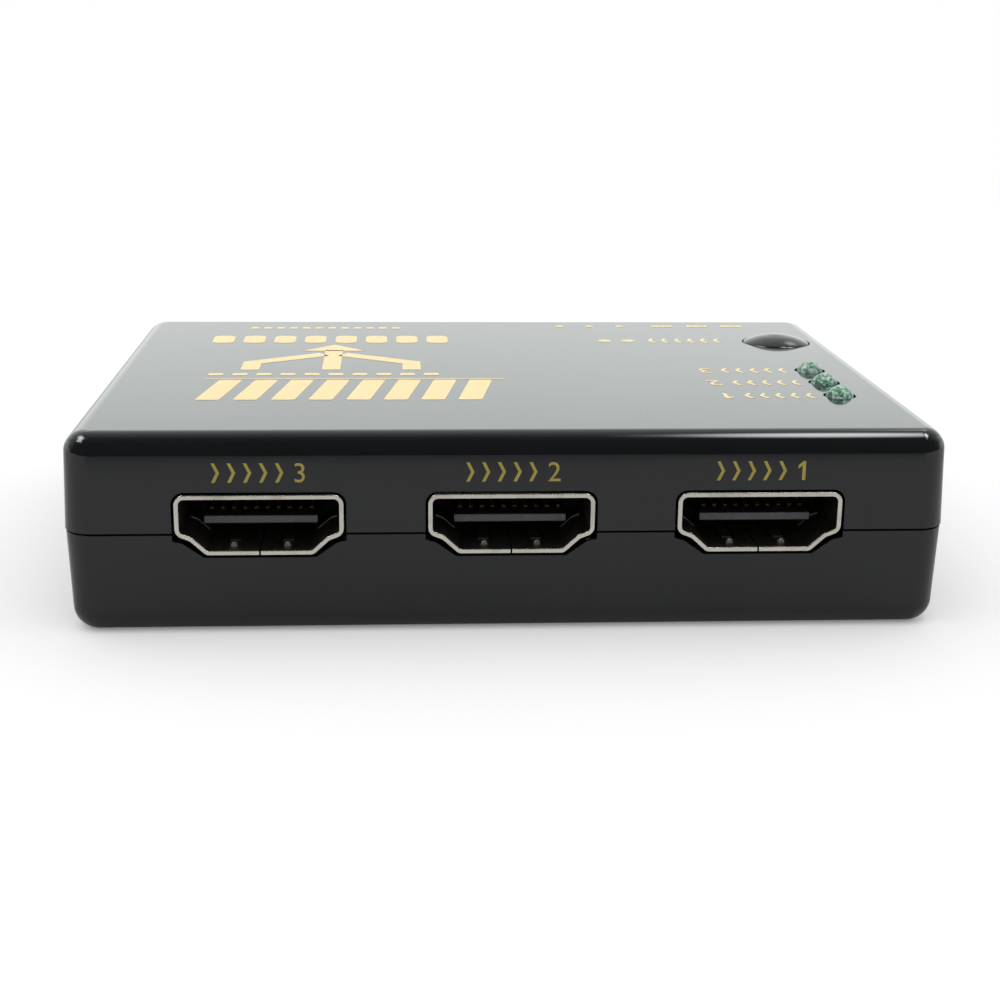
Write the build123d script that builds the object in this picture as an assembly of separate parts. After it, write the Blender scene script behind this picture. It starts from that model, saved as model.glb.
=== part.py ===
# A desktop video switch box: a black two-part moulded case, three sockets along the front,
# one socket between two round jacks along the back, three lamps and a domed push button on top.
# Millimetres. X runs along the front, Y from the front to the back, Z up.
# The origin is the middle of the base, on the surface that the box stands on.
from build123d import *

import os
from math import radians, tan

# Case, outside
case_width = 80.0
case_depth = 60.0
case_height = 18.5
seam_height = 9.45
corner_radius = 2.8
top_edge_radius = 2.0
base_edge_radius = 2.2
upper_draft = 1.9  # degrees
lower_draft = 2.1  # degrees
seam_gap = 0.16
seam_step = 0.08

# Case, inside
wall = 1.8
lid_thickness = 2.0
floor_thickness = 2.0
lap_thickness = 0.8
lap_height = 1.4
lap_clearance = 0.1
cut_overrun = 1.0

# Screw bosses and screws
boss_inset = 5.4
upper_boss_radius = 2.7
lower_boss_radius = 3.4
gusset_thickness = 1.0
head_seat_height = 3.0
recess_radius = 2.4
head_radius = 2.15
head_height = 1.5
cross_length = 2.4
cross_width = 0.55
cross_depth = 0.8
screw_radius = 1.15
screw_length = 8.0
pilot_clearance = 0.05
pilot_overrun = 0.6
boss_hole_clearance = 0.35
board_hole_clearance = 0.5

# Circuit board
board_thickness = 1.6
board_margin = 0.5
solder_gap = 0.05
tail_protrusion = 0.6
tail_hole_clearance = 0.2
rest_rib_thickness = 1.2
rest_rib_length = 8.0
rest_rib_setback = 7.0

# Video sockets: outline of the stamped shell, seen from the mouth
socket_post_gap = 1.9
socket_axis_height = 10.25
socket_width = 15.0
socket_height = 5.55
socket_shoulder_drop = 0.95
socket_slope_inset = 1.3
socket_slope_drop = 1.45
socket_base_width = 9.5
socket_top_radius = 0.9
socket_shoulder_radius = 0.9
socket_slope_radius = 0.8
socket_base_radius = 0.7
cutout_clearance = 0.22
cutout_shoulder_inset = 0.9

# Video sockets: shell
shell_sheet = 0.42
shell_depth = 10.6
shell_recess = 0.05
shell_butt_gap = 0.12
leg_width = 1.1
leg_front_setback = 3.8
leg_back_setback = 9.76
finger_width = 1.0
finger_window_width = 1.5
finger_length = 4.6
finger_end_setback = 2.9
finger_dip = 0.36
finger_tip_length = 0.9
finger_spacing = 4.8
finger_rise_share = 0.5

# Video sockets: moulded insert and contacts
insert_fit = 0.04
insert_start = 8.3
tongue_width = 10.2
tongue_thickness = 1.2
tongue_setback = 2.3
tongue_chamfer = 0.6
tongue_tip_thickness = 0.64
tongue_drop = 0.1
contact_pitch = 1.0
contact_width = 0.34
contact_thickness = 0.16
contact_setback = 1.4
contact_slot_clearance = 0.04
upper_contact_count = 10
lower_contact_count = 9

# Lamps and button on the lid, in a column between the screw posts of the right-hand side
lamp_inset = 6.6
lamp_post_gap = 5.95
lamp_spread_share = 0.216
lamp_radius = 1.5
lamp_length = 5.2
lamp_rise = 1.08
lamp_flange_radius = 1.85
lamp_flange_height = 1.0
lamp_flange_flat = 0.3
lamp_hole_clearance = 0.09
lamp_lead_width = 0.5
lamp_lead_spacing = 2.54
button_post_gap = 2.45
button_radius = 3.75
button_clearance = 0.1
button_dome_height = 0.95
button_skin = 1.1
button_flange_radius = 4.85
button_flange_height = 0.9
button_flange_gap = 0.1
button_flat_width = 7.8
button_skirt_wall = 0.9
button_stem_radius = 1.5
press_gap = 0.03

# Push switch under the button
switch_width = 6.0
switch_body_height = 3.2
switch_cover_sheet = 0.3
switch_total_height = 5.0
switch_well_radius = 2.5
switch_well_floor = 1.2
plunger_radius = 1.7
plunger_foot_radius = 2.3
plunger_clearance = 0.1
disc_radius = 2.3
disc_rise = 0.45
disc_sheet = 0.12
disc_crown_share = 0.5
disc_gap = 0.02
switch_lead_width = 0.7
switch_lead_sheet = 0.3
switch_lead_spacing = 4.5

# Round jacks at the back
jack_post_gap = 6.2
jack_nose_radius = 2.9
jack_nose_recess = 0.3
jack_hole_clearance = 0.2
jack_wall_gap = 0.3
power_jack_width = 6.4
power_jack_length = 9.6
power_jack_height = 5.6
power_bore_radius = 1.85
power_bore_depth = 9.2
power_pin_radius = 0.65
power_pin_setback = 0.9
power_pin_bevel = 0.3
power_tail_sheet = 0.4
remote_jack_width = 6.4
remote_jack_length = 11.6
remote_jack_height = 5.4
remote_bore_radius = 1.8
remote_bore_depth = 13.0
ferrule_length = 3.6
ferrule_sheet = 0.5
ferrule_fit = 0.03
jack_tail_width = 1.2
jack_tail_sheet = 0.3

# Chips and small parts on the board
chip_side = 7.0
chip_height = 1.4
chip_lead_pitch = 1.0
chip_lead_width = 0.4
chip_leads_per_side = 6
controller_length = 4.9
controller_width = 3.9
controller_height = 1.5
controller_lead_pitch = 1.27
controller_lead_width = 0.42
controller_leads_per_side = 4
regulator_length = 6.5
regulator_width = 3.5
regulator_height = 1.6
regulator_lead_pitch = 2.3
regulator_lead_width = 0.7
regulator_tab_width = 3.0
lead_sheet = 0.15
lead_reach = 1.0
chip_standoff = 0.1
lead_height_share = 0.5
crystal_length = 10.6
crystal_width = 4.2
crystal_height = 3.4
can_radius = 2.5
can_height = 5.2
can_base_side = 5.3
can_base_height = 0.9
small_part_length = 1.6
small_part_width = 0.8
small_part_height = 0.7
resistor_height = 0.45
protector_length = 2.5
protector_width = 1.0
protector_height = 0.5
protector_gap = 2.2
protector_setback = 4.9

# Places on the board, as shares of its width and depth from the middle
chip_share = (0.0, -0.04)
controller_share = (0.24, -0.09)
regulator_share = (-0.34, 0.07)
crystal_share = (0.2, 0.12)
can_shares = ((-0.42, -0.1), (-0.16, 0.16))
capacitor_shares = (
    (-0.13, -0.13), (-0.07, 0.08), (0.0, 0.09), (0.07, 0.08), (0.13, -0.12), (0.15, -0.02),
    (-0.15, -0.02), (-0.24, -0.02), (-0.24, 0.12), (-0.34, -0.12), (0.33, -0.04), (0.1, 0.19),
)
resistor_shares = (
    (-0.19, -0.09), (-0.2, 0.04), (0.31, 0.0), (0.31, 0.1), (0.38, -0.04),
    (0.38, 0.05), (0.16, 0.05), (0.2, 0.01), (-0.29, 0.2), (-0.1, 0.13),
)

# Worked out from the sizes above
front_y = -case_depth / 2
back_y = case_depth / 2
upper_rim = seam_height + seam_gap / 2
lower_rim = seam_height - seam_gap / 2
lid_underside = case_height - lid_thickness
board_top = socket_axis_height - socket_height / 2 - solder_gap
board_bottom = board_top - board_thickness
lower_wall_lean = (seam_height - board_bottom) * tan(radians(lower_draft))
board_width = case_width - 2 * (wall + lower_wall_lean + board_margin)
board_depth = case_depth - 2 * (wall + lower_wall_lean + board_margin)
inner_radius = corner_radius - wall
boss_x = case_width / 2 - boss_inset
boss_y = case_depth / 2 - boss_inset
boss_places = [(x, y) for x in (-boss_x, boss_x) for y in (-boss_y, boss_y)]
socket_pitch = boss_x - upper_boss_radius - socket_post_gap - socket_width / 2
socket_places = {
    "input_3": (-socket_pitch, front_y, "front"),
    "input_2": (0, front_y, "front"),
    "input_1": (socket_pitch, front_y, "front"),
    "output": (0, back_y, "back"),
}
lamp_x = case_width / 2 - lamp_inset
button_y = boss_y - upper_boss_radius - button_post_gap - button_flange_radius
first_lamp_y = -boss_y + upper_boss_radius + lamp_post_gap + lamp_flange_radius
lamp_pitch = (button_y - first_lamp_y) * lamp_spread_share
lamp_ys = [first_lamp_y + n * lamp_pitch for n in range(3)]
lamp_tip = case_height + lamp_rise
plunger_top = board_top + switch_total_height
jack_x = boss_x - upper_boss_radius - jack_post_gap - max(power_jack_width, remote_jack_width) / 2
power_x = -jack_x
remote_x = jack_x
power_axis = board_top + power_jack_height / 2
remote_axis = board_top + remote_jack_height / 2
jack_nose_end = back_y - jack_nose_recess
jack_body_front = back_y - wall - jack_wall_gap
leg_end = board_bottom - tail_protrusion
rest_places = [(x, front_y + rest_rib_setback) for x in (-socket_pitch, 0, socket_pitch)]
rest_places += [(x, back_y - rest_rib_setback) for x in (power_x, 0, remote_x)]


def block(x_from, x_to, y_from, y_to, z_from, z_to):
    """A rectangular block between two corners."""
    size = Box(x_to - x_from, y_to - y_from, z_to - z_from)
    return Pos((x_from + x_to) / 2, (y_from + y_to) / 2, (z_from + z_to) / 2) * size


def centred_block(x, y, width, depth, z_from, z_to):
    """A rectangular block centred on X, Y."""
    return block(x - width / 2, x + width / 2, y - depth / 2, y + depth / 2, z_from, z_to)


def upright(x, y, radius, z_from, z_to):
    """A vertical cylinder."""
    base = Align.MIN
    return Pos(x, y, z_from) * Cylinder(radius, z_to - z_from, align=(Align.CENTER, Align.CENTER, base))


def lying(x, z, radius, y_from, y_to):
    """A cylinder lying along Y."""
    middle = Pos(x, (y_from + y_to) / 2, z)
    return middle * Rot(90, 0, 0) * Cylinder(radius, abs(y_to - y_from))


def drafted_block(width, depth, radius, z_from, z_to, draft=0.0):
    """A block, round-cornered if radius isn't zero, whose sides lean in as it runs from z_from to z_to."""
    outline = RectangleRounded(width, depth, radius) if radius else Rectangle(width, depth)
    direction = (0, 0, 1) if z_to > z_from else (0, 0, -1)
    return extrude(Pos(0, 0, z_from) * outline, amount=abs(z_to - z_from), dir=direction, taper=draft)


def profile_along_x(points, x_from, x_to):
    """A side view drawn in Y and Z, given thickness along X."""
    face = make_face(Polyline(*[(0, y, z) for y, z in points], close=True))
    return extrude(Pos(x_from, 0, 0) * face, amount=x_to - x_from, dir=(1, 0, 0))


def face_back(face, y_from, y_to):
    """A front view drawn in X and Z, given depth along Y."""
    upright_face = Plane.XZ * face
    return extrude(Pos(0, y_from, 0) * upright_face, amount=y_to - y_from, dir=(0, 1, 0))


def both_sides(half):
    """The points of a half outline and their mirror image, in order round the outline."""
    return half + [(-x, z) for x, z in reversed(half)]


def socket_outline(growth=0.0):
    """The front view of a video socket: flat top, short sides, sloped shoulders, narrower base."""
    top = socket_height / 2
    side = socket_width / 2
    corners = [
        (side, top),
        (side, -socket_shoulder_drop),
        (side - socket_slope_inset, -socket_slope_drop),
        (socket_base_width / 2, -top),
    ]
    radii = [socket_top_radius, socket_shoulder_radius, socket_slope_radius, socket_base_radius]
    outline = make_face(FilletPolyline(*both_sides(corners), radius=radii + radii[::-1], close=True))
    return offset(outline, amount=growth) if growth else outline


def cutout_outline():
    """The wall's opening round a socket: the same shape with plain, roomier shoulders."""
    top = socket_height / 2 + cutout_clearance
    side = socket_width / 2 + cutout_clearance
    corners = [
        (side, top),
        (side, -socket_slope_drop),
        (side - cutout_shoulder_inset, -socket_slope_drop - cutout_clearance),
        (socket_base_width / 2 + cutout_clearance, -top),
    ]
    outline = make_face(Polyline(*both_sides(corners), close=True))
    return fillet(outline.vertices().group_by(Axis.Y)[-1], radius=socket_top_radius + cutout_clearance)


def at_socket(shape, place):
    """Moves a piece drawn with its mouth at the origin to a socket's place in the case, facing out."""
    x, y, side = place
    turn = 0 if side == "front" else 180
    return Pos(x, y, socket_axis_height) * Rot(0, 0, turn) * shape


def board_level():
    """The board's upper face, as a height in a socket's own view."""
    return board_top - socket_axis_height


def wall_cutters():
    """Everything that opens the case's walls: socket cut-outs and round jack holes."""
    reach = wall + lap_clearance + cut_overrun
    cutout = face_back(cutout_outline(), -cut_overrun, reach)
    cutters = [at_socket(cutout, place) for place in socket_places.values()]
    hole_radius = jack_nose_radius + jack_hole_clearance
    for x, z in ((power_x, power_axis), (remote_x, remote_axis)):
        cutters.append(lying(x, z, hole_radius, back_y - reach, back_y + cut_overrun))
    return cutters


def upper_shell():
    """The upper half of the case: lid, walls, lap rebate, gusseted bosses, holes for lamps and button."""
    shell = drafted_block(case_width, case_depth, corner_radius, upper_rim, case_height, upper_draft)
    shell = fillet(shell.edges().group_by(Axis.Z)[-1], radius=top_edge_radius)
    inner_width = case_width - 2 * wall
    inner_depth = case_depth - 2 * wall
    shell -= drafted_block(inner_width, inner_depth, inner_radius, upper_rim, lid_underside, upper_draft)
    rebate_inset = wall - lap_thickness - lap_clearance
    rebate_top = seam_height + lap_height + lap_clearance
    shell -= drafted_block(
        case_width - 2 * rebate_inset,
        case_depth - 2 * rebate_inset,
        corner_radius - rebate_inset,
        upper_rim,
        rebate_top,
    )
    wall_middle = wall / 2
    for x, y in boss_places:
        shell += upright(x, y, upper_boss_radius, board_top, lid_underside + wall_middle)
        x_end = (case_width / 2 - wall_middle) * (1 if x > 0 else -1)
        y_end = (case_depth / 2 - wall_middle) * (1 if y > 0 else -1)
        low = rebate_top + lap_clearance
        half = gusset_thickness / 2
        shell += block(min(x, x_end), max(x, x_end), y - half, y + half, low, lid_underside + wall_middle)
        shell += block(x - half, x + half, min(y, y_end), max(y, y_end), low, lid_underside + wall_middle)
    pilot_top = head_seat_height + screw_length + pilot_overrun
    for x, y in boss_places:
        shell -= upright(x, y, screw_radius + pilot_clearance, board_top - cut_overrun, pilot_top)
    for y in lamp_ys:
        shell -= upright(lamp_x, y, lamp_radius + lamp_hole_clearance, lid_underside - cut_overrun, lamp_tip)
    hole_radius = button_radius + button_clearance
    shell -= upright(lamp_x, button_y, hole_radius, lid_underside - cut_overrun, case_height + cut_overrun)
    return shell - wall_cutters()


def lower_shell():
    """The lower half of the case: floor, walls, raised lap rib, screw posts with recesses, board rests."""
    outer_width = case_width - 2 * seam_step
    outer_depth = case_depth - 2 * seam_step
    shell = drafted_block(outer_width, outer_depth, corner_radius - seam_step, lower_rim, 0, lower_draft)
    shell = fillet(shell.edges().group_by(Axis.Z)[0], radius=base_edge_radius)
    inner_width = case_width - 2 * wall
    inner_depth = case_depth - 2 * wall
    shell -= drafted_block(inner_width, inner_depth, inner_radius, lower_rim, floor_thickness, lower_draft)
    rib_inset = wall - lap_thickness
    rib_top = seam_height + lap_height
    rib = drafted_block(
        case_width - 2 * rib_inset, case_depth - 2 * rib_inset, corner_radius - rib_inset, lower_rim, rib_top
    )
    shell += rib - drafted_block(inner_width, inner_depth, inner_radius, lower_rim, rib_top)
    for x, y in boss_places:
        shell += upright(x, y, lower_boss_radius, floor_thickness / 2, board_bottom)
    for x, y in rest_places:
        shell += centred_block(x, y, rest_rib_thickness, rest_rib_length, floor_thickness / 2, board_bottom)
    for x, y in boss_places:
        shell -= upright(x, y, recess_radius, -cut_overrun, head_seat_height)
        shell -= upright(x, y, screw_radius + boss_hole_clearance, -cut_overrun, board_bottom + cut_overrun)
    return shell - wall_cutters()


def case_screw(x, y):
    """One self-tapping screw, driven upwards from the base, with a cross recess in its head."""
    screw = upright(x, y, head_radius, head_seat_height - head_height, head_seat_height)
    screw += upright(x, y, screw_radius, head_seat_height, head_seat_height + screw_length)
    recess_from = head_seat_height - head_height - cut_overrun
    recess_to = head_seat_height - head_height + cross_depth
    for length, width in ((cross_length, cross_width), (cross_width, cross_length)):
        screw -= centred_block(x, y, length, width, recess_from, recess_to)
    return screw


def leg_places():
    """Where tails and legs pass through the board: X, Y, width in X, width in Y."""
    places = []
    leg_x = socket_width / 2 - shell_sheet / 2
    for x, y, side in socket_places.values():
        inward = 1 if side == "front" else -1
        for offset_x in (-leg_x, leg_x):
            for setback in (leg_front_setback, leg_back_setback):
                places.append((x + offset_x, y + inward * setback, shell_sheet, leg_width))
    places += [(x, y, lamp_lead_width, lamp_lead_width) for x, y in lamp_lead_places()]
    places += [(x, y, switch_lead_sheet, switch_lead_width) for x, y in switch_lead_places()]
    places += [(x, y, jack_tail_width, jack_tail_sheet) for x, y in power_tail_places()]
    places += [(x, y, jack_tail_sheet, jack_tail_width) for x, y in remote_tail_places()]
    return places


def circuit_board():
    """The board, with screw holes, holes for every leg, and its corners cleared by the case."""
    board = centred_block(0, 0, board_width, board_depth, board_bottom, board_top)
    low = board_bottom - cut_overrun
    high = board_top + cut_overrun
    cutters = [upright(x, y, screw_radius + board_hole_clearance, low, high) for x, y in boss_places]
    for x, y, width, depth in leg_places():
        hole_width = width + 2 * tail_hole_clearance
        hole_depth = depth + 2 * tail_hole_clearance
        cutters.append(centred_block(x, y, hole_width, hole_depth, low, high))
    return board - cutters


def spring_finger():
    """A spring finger of the shell's roof, drawn at X = 0: rooted at its back, with a dip near its tip."""
    top = socket_height / 2
    low = top - shell_sheet
    back = finger_end_setback + finger_length
    dip_y = finger_end_setback + finger_tip_length
    points = [
        (finger_end_setback, low - finger_dip * finger_rise_share),
        (dip_y, low - finger_dip),
        (back, low),
        (back + shell_sheet, low),
        (back + shell_sheet, top),
        (back, top),
        (dip_y, top - finger_dip),
        (finger_end_setback, top - finger_dip * finger_rise_share),
    ]
    return profile_along_x(points, -finger_width / 2, finger_width / 2)


def socket_shell():
    """The stamped shell: a folded tube with a butt joint, spring fingers and four board legs."""
    outer = socket_outline()
    inner = socket_outline(-shell_sheet)
    tube = face_back(outer, 0, shell_depth)
    tube -= face_back(inner, -cut_overrun, shell_depth + cut_overrun)
    top = socket_height / 2
    half_window = finger_window_width / 2
    window_end = finger_end_setback + finger_length
    for x in (-finger_spacing / 2, finger_spacing / 2):
        for side in (1, -1):
            low, high = sorted((side * (top - 2 * shell_sheet), side * (top + cut_overrun)))
            window = block(x - half_window, x + half_window, finger_end_setback, window_end, low, high)
            finger = spring_finger() if side > 0 else Rot(0, 180, 0) * spring_finger()
            tube = tube - window + Pos(x, 0, 0) * finger
    half_gap = shell_butt_gap / 2
    tube -= block(-half_gap, half_gap, -cut_overrun, shell_depth + cut_overrun, -top - cut_overrun, -top / 2)
    leg_x = socket_width / 2 - shell_sheet / 2
    for x in (-leg_x, leg_x):
        for y in (leg_front_setback, leg_back_setback):
            tube += centred_block(x, y, shell_sheet, leg_width, leg_end - socket_axis_height, 0)
    return tube


def contact_rows():
    """Each row of contacts: the X of every contact, and the lowest and highest level of its strip."""
    tongue_top = -tongue_drop + tongue_thickness / 2
    tongue_base = -tongue_drop - tongue_thickness / 2
    rows = []
    for count, low, high in (
        (upper_contact_count, tongue_top, tongue_top + contact_thickness),
        (lower_contact_count, tongue_base - contact_thickness, tongue_base),
    ):
        rows.append(([(n - (count - 1) / 2) * contact_pitch for n in range(count)], low, high))
    return rows


def socket_insert():
    """The moulded insert: a block that closes the shell's back, and the tongue, chamfered at its tip."""
    insert = face_back(socket_outline(-shell_sheet - insert_fit), insert_start, shell_depth)
    half = tongue_thickness / 2
    tip = tongue_tip_thickness / 2
    tongue = [
        (tongue_setback, tip),
        (tongue_setback, -tip),
        (tongue_setback + tongue_chamfer, -half),
        (insert_start + insert_fit, -half),
        (insert_start + insert_fit, half),
        (tongue_setback + tongue_chamfer, half),
    ]
    insert += Pos(0, 0, -tongue_drop) * profile_along_x(tongue, -tongue_width / 2, tongue_width / 2)
    for xs, low, high in contact_rows():
        half_slot = (xs[-1] - xs[0] + contact_width) / 2 + contact_slot_clearance
        outer_low = low - contact_slot_clearance if low < -tongue_drop else low
        outer_high = high + contact_slot_clearance if high > -tongue_drop else high
        insert -= block(-half_slot, half_slot, insert_start, shell_depth + cut_overrun, outer_low, outer_high)
    return insert


def socket_contacts():
    """The contacts: strips on the tongue that pass out behind the insert and turn down to the board."""
    start = tongue_setback + contact_setback
    bend = shell_depth + contact_slot_clearance
    contacts = []
    for xs, low, high in contact_rows():
        strip = [
            (start, low),
            (bend, low),
            (bend, board_level()),
            (bend + contact_thickness, board_level()),
            (bend + contact_thickness, high),
            (start, high),
        ]
        contacts += [profile_along_x(strip, x - contact_width / 2, x + contact_width / 2) for x in xs]
    return contacts


def lamp_lens(y):
    """One lamp: a domed round lens on a flange with a flat side."""
    flange_low = lamp_tip - lamp_length
    lens = upright(lamp_x, y, lamp_radius, flange_low, lamp_tip - lamp_radius)
    lens += Pos(lamp_x, y, lamp_tip - lamp_radius) * Sphere(lamp_radius)
    flange = upright(lamp_x, y, lamp_flange_radius, flange_low, flange_low + lamp_flange_height)
    flat_y = y + lamp_flange_radius - lamp_flange_flat
    flange -= block(
        lamp_x - lamp_flange_radius - cut_overrun,
        lamp_x + lamp_flange_radius + cut_overrun,
        flat_y,
        flat_y + cut_overrun,
        flange_low - cut_overrun,
        flange_low + lamp_flange_height + cut_overrun,
    )
    return lens + flange


def lamp_lead_places():
    """The X, Y of the two leads of every lamp."""
    half = lamp_lead_spacing / 2
    return [(lamp_x, y + side) for y in lamp_ys for side in (-half, half)]


def lamp_leads():
    """The lamps' square leads, from under each flange down through the board."""
    top = lamp_tip - lamp_length
    side = lamp_lead_width
    return [centred_block(x, y, side, side, leg_end, top) for x, y in lamp_lead_places()]


def select_button():
    """The button: a shallow dome on a hollow skirt, a retaining flange with two flats, and a central stem."""
    flange_high = lid_underside - button_flange_gap
    flange_low = flange_high - button_flange_height
    ceiling = case_height - button_skin
    skirt_bore = button_radius - button_skirt_wall
    crown = case_height + button_dome_height
    stem_end = plunger_top + press_gap
    shoulder_slope = 2 * button_dome_height * button_radius / (button_radius**2 + button_dome_height**2)
    mid_radius = button_radius / 2
    dome_sphere = button_radius / shoulder_slope
    mid_height = crown - dome_sphere + (dome_sphere**2 - mid_radius**2) ** 0.5
    dome = ThreePointArc((0, 0, crown), (mid_radius, 0, mid_height), (button_radius, 0, case_height))
    sides = Polyline(
        (button_radius, 0, case_height),
        (button_radius, 0, flange_high),
        (button_flange_radius, 0, flange_high),
        (button_flange_radius, 0, flange_low),
        (skirt_bore, 0, flange_low),
        (skirt_bore, 0, ceiling),
        (button_stem_radius, 0, ceiling),
        (button_stem_radius, 0, stem_end),
        (0, 0, stem_end),
        (0, 0, crown),
    )
    button = revolve(make_face(Wire([dome] + sides.edges())), axis=Axis.Z)
    reach = button_flange_radius + cut_overrun
    for side in (-1, 1):
        near, far = sorted((side * button_flat_width / 2, side * reach))
        button -= block(near, far, -reach, reach, flange_low - cut_overrun, flange_high)
    return Pos(lamp_x, button_y, 0) * button


def switch_base():
    """The push switch's moulded base, with the round well that holds the snap disc and the plunger's foot."""
    top = board_top + switch_body_height
    floor = board_top + switch_well_floor
    base = centred_block(lamp_x, button_y, switch_width, switch_width, board_top, top)
    return base - upright(lamp_x, button_y, switch_well_radius, floor, top + cut_overrun)


def switch_cover():
    """The sheet cover that holds the plunger in the base."""
    low = board_top + switch_body_height
    high = low + switch_cover_sheet
    hole_radius = plunger_radius + plunger_clearance
    cover = centred_block(lamp_x, button_y, switch_width, switch_width, low, high)
    return cover - upright(lamp_x, button_y, hole_radius, low - cut_overrun, high + cut_overrun)


def disc_top():
    """The height of the snap disc's crown."""
    return board_top + switch_well_floor + disc_rise


def switch_plunger():
    """The plunger: a foot under the cover and a round head above it."""
    foot_low = disc_top() + disc_gap
    foot_high = board_top + switch_body_height - plunger_clearance
    plunger = upright(lamp_x, button_y, plunger_foot_radius, foot_low, foot_high)
    return plunger + upright(lamp_x, button_y, plunger_radius, foot_low, plunger_top)


def snap_disc():
    """The thin dished disc that clicks under the plunger and pushes it back up."""
    floor = board_top + switch_well_floor
    under = [
        (disc_radius, floor),
        (disc_radius * disc_crown_share, floor + disc_rise - disc_sheet),
        (0, floor + disc_rise - disc_sheet),
    ]
    over = [(radius, height + disc_sheet) for radius, height in reversed(under)]
    section = make_face(Polyline(*[(radius, 0, height) for radius, height in under + over], close=True))
    return Pos(lamp_x, button_y, 0) * revolve(section, axis=Axis.Z)


def switch_lead_places():
    """The X, Y of the switch's four legs."""
    x_off = (switch_width + switch_lead_sheet) / 2
    y_off = switch_lead_spacing / 2
    return [(lamp_x + x, button_y + y) for x in (-x_off, x_off) for y in (-y_off, y_off)]


def switch_leads():
    """The switch's four legs, down its sides and through the board."""
    high = board_top + switch_body_height / 2
    sheet, width = switch_lead_sheet, switch_lead_width
    return [centred_block(x, y, sheet, width, leg_end, high) for x, y in switch_lead_places()]


def jack_body(x, width, length, axis, bore_radius, bore_depth):
    """A board jack: a block on the board with a round nose through the case and a blind bore."""
    body = centred_block(x, jack_body_front - length / 2, width, length, board_top, 2 * axis - board_top)
    body += lying(x, axis, jack_nose_radius, jack_body_front - jack_wall_gap, jack_nose_end)
    return body - lying(x, axis, bore_radius, jack_nose_end - bore_depth, jack_nose_end + cut_overrun)


def power_jack_body():
    """The supply jack's moulded body, closed behind the bore but for the pin's seat."""
    width, length = power_jack_width, power_jack_length
    body = jack_body(power_x, width, length, power_axis, power_bore_radius, power_bore_depth)
    return body - lying(power_x, power_axis, power_pin_radius, jack_body_front - length, jack_nose_end)


def power_jack_pin():
    """The supply jack's centre pin, with a bevelled nose."""
    nose_y = jack_nose_end - power_pin_setback
    pin = lying(power_x, power_axis, power_pin_radius, jack_body_front - power_jack_length, nose_y)
    return chamfer(pin.edges().group_by(Axis.Y)[-1], length=power_pin_bevel)


def power_tail_places():
    """The X, Y of the supply jack's two tails, behind its body."""
    behind = jack_body_front - power_jack_length - jack_tail_sheet / 2
    quarter = power_jack_width / 4
    return [(power_x - quarter, behind), (power_x + quarter, behind)]


def power_jack_tails():
    """The supply jack's tails, down its back and through the board; one reaches across to the pin."""
    return [
        centred_block(x, y, jack_tail_width, jack_tail_sheet, leg_end, power_axis + power_tail_sheet)
        for x, y in power_tail_places()
    ]


def remote_jack_body():
    """The receiver jack's moulded body, counterbored at its mouth for the ferrule."""
    width, length = remote_jack_width, remote_jack_length
    body = jack_body(remote_x, width, length, remote_axis, remote_bore_radius, remote_bore_depth)
    seat_radius = remote_bore_radius + ferrule_sheet + ferrule_fit
    seat_floor = jack_nose_end - ferrule_length
    return body - lying(remote_x, remote_axis, seat_radius, seat_floor, jack_nose_end + cut_overrun)


def remote_jack_ferrule():
    """The plated ring that lines the receiver jack's mouth."""
    start = jack_nose_end - ferrule_length
    ferrule = lying(remote_x, remote_axis, remote_bore_radius + ferrule_sheet, start, jack_nose_end)
    return ferrule - lying(remote_x, remote_axis, remote_bore_radius, start - cut_overrun, back_y)


def remote_tail_places():
    """The X, Y of the receiver jack's three tails, against its sides."""
    beside = (remote_jack_width + jack_tail_sheet) / 2
    near = jack_body_front - remote_jack_length / 4
    far = jack_body_front - 3 * remote_jack_length / 4
    return [(remote_x - beside, near), (remote_x + beside, near), (remote_x - beside, far)]


def remote_jack_tails():
    """The receiver jack's tails, down its sides and through the board."""
    sheet, width = jack_tail_sheet, jack_tail_width
    return [centred_block(x, y, sheet, width, leg_end, remote_axis) for x, y in remote_tail_places()]


def on_board(share):
    """A place on the board, from shares of its width and depth."""
    return share[0] * board_width, share[1] * board_depth


def gull_lead(body_edge, height, lead_width):
    """One bent lead drawn from the middle of a body's +Y side at X = 0: out, down and out again."""
    shoulder = board_top + chip_standoff + height * lead_height_share
    half_reach = lead_reach / 2
    points = [
        (body_edge, shoulder),
        (body_edge + half_reach, shoulder),
        (body_edge + half_reach, board_top + lead_sheet),
        (body_edge + lead_reach, board_top + lead_sheet),
        (body_edge + lead_reach, board_top),
        (body_edge + half_reach - lead_sheet, board_top),
        (body_edge + half_reach - lead_sheet, shoulder - lead_sheet),
        (body_edge, shoulder - lead_sheet),
    ]
    return profile_along_x(points, -lead_width / 2, lead_width / 2)


def lead_row(count, pitch, body_edge, height, lead_width, turn):
    """A row of bent leads along one side of a body, turned to face that side."""
    lead = gull_lead(body_edge, height, lead_width)
    return [Rot(0, 0, turn) * Pos((n - (count - 1) / 2) * pitch, 0, 0) * lead for n in range(count)]


def chip_body(share, length, width, height):
    """A moulded chip body, just clear of the board."""
    x, y = on_board(share)
    low = board_top + chip_standoff
    return centred_block(x, y, length, width, low, low + height)


def placed(pieces, share):
    """Moves pieces drawn round the origin to their place on the board."""
    x, y = on_board(share)
    return [Pos(x, y, 0) * piece for piece in pieces]


def switch_chip_leads():
    """Leads on all four sides of the square switching chip."""
    rows = []
    edge = chip_side / 2
    for turn in (0, 90, 180, 270):
        rows += lead_row(chip_leads_per_side, chip_lead_pitch, edge, chip_height, chip_lead_width, turn)
    return placed(rows, chip_share)


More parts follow.
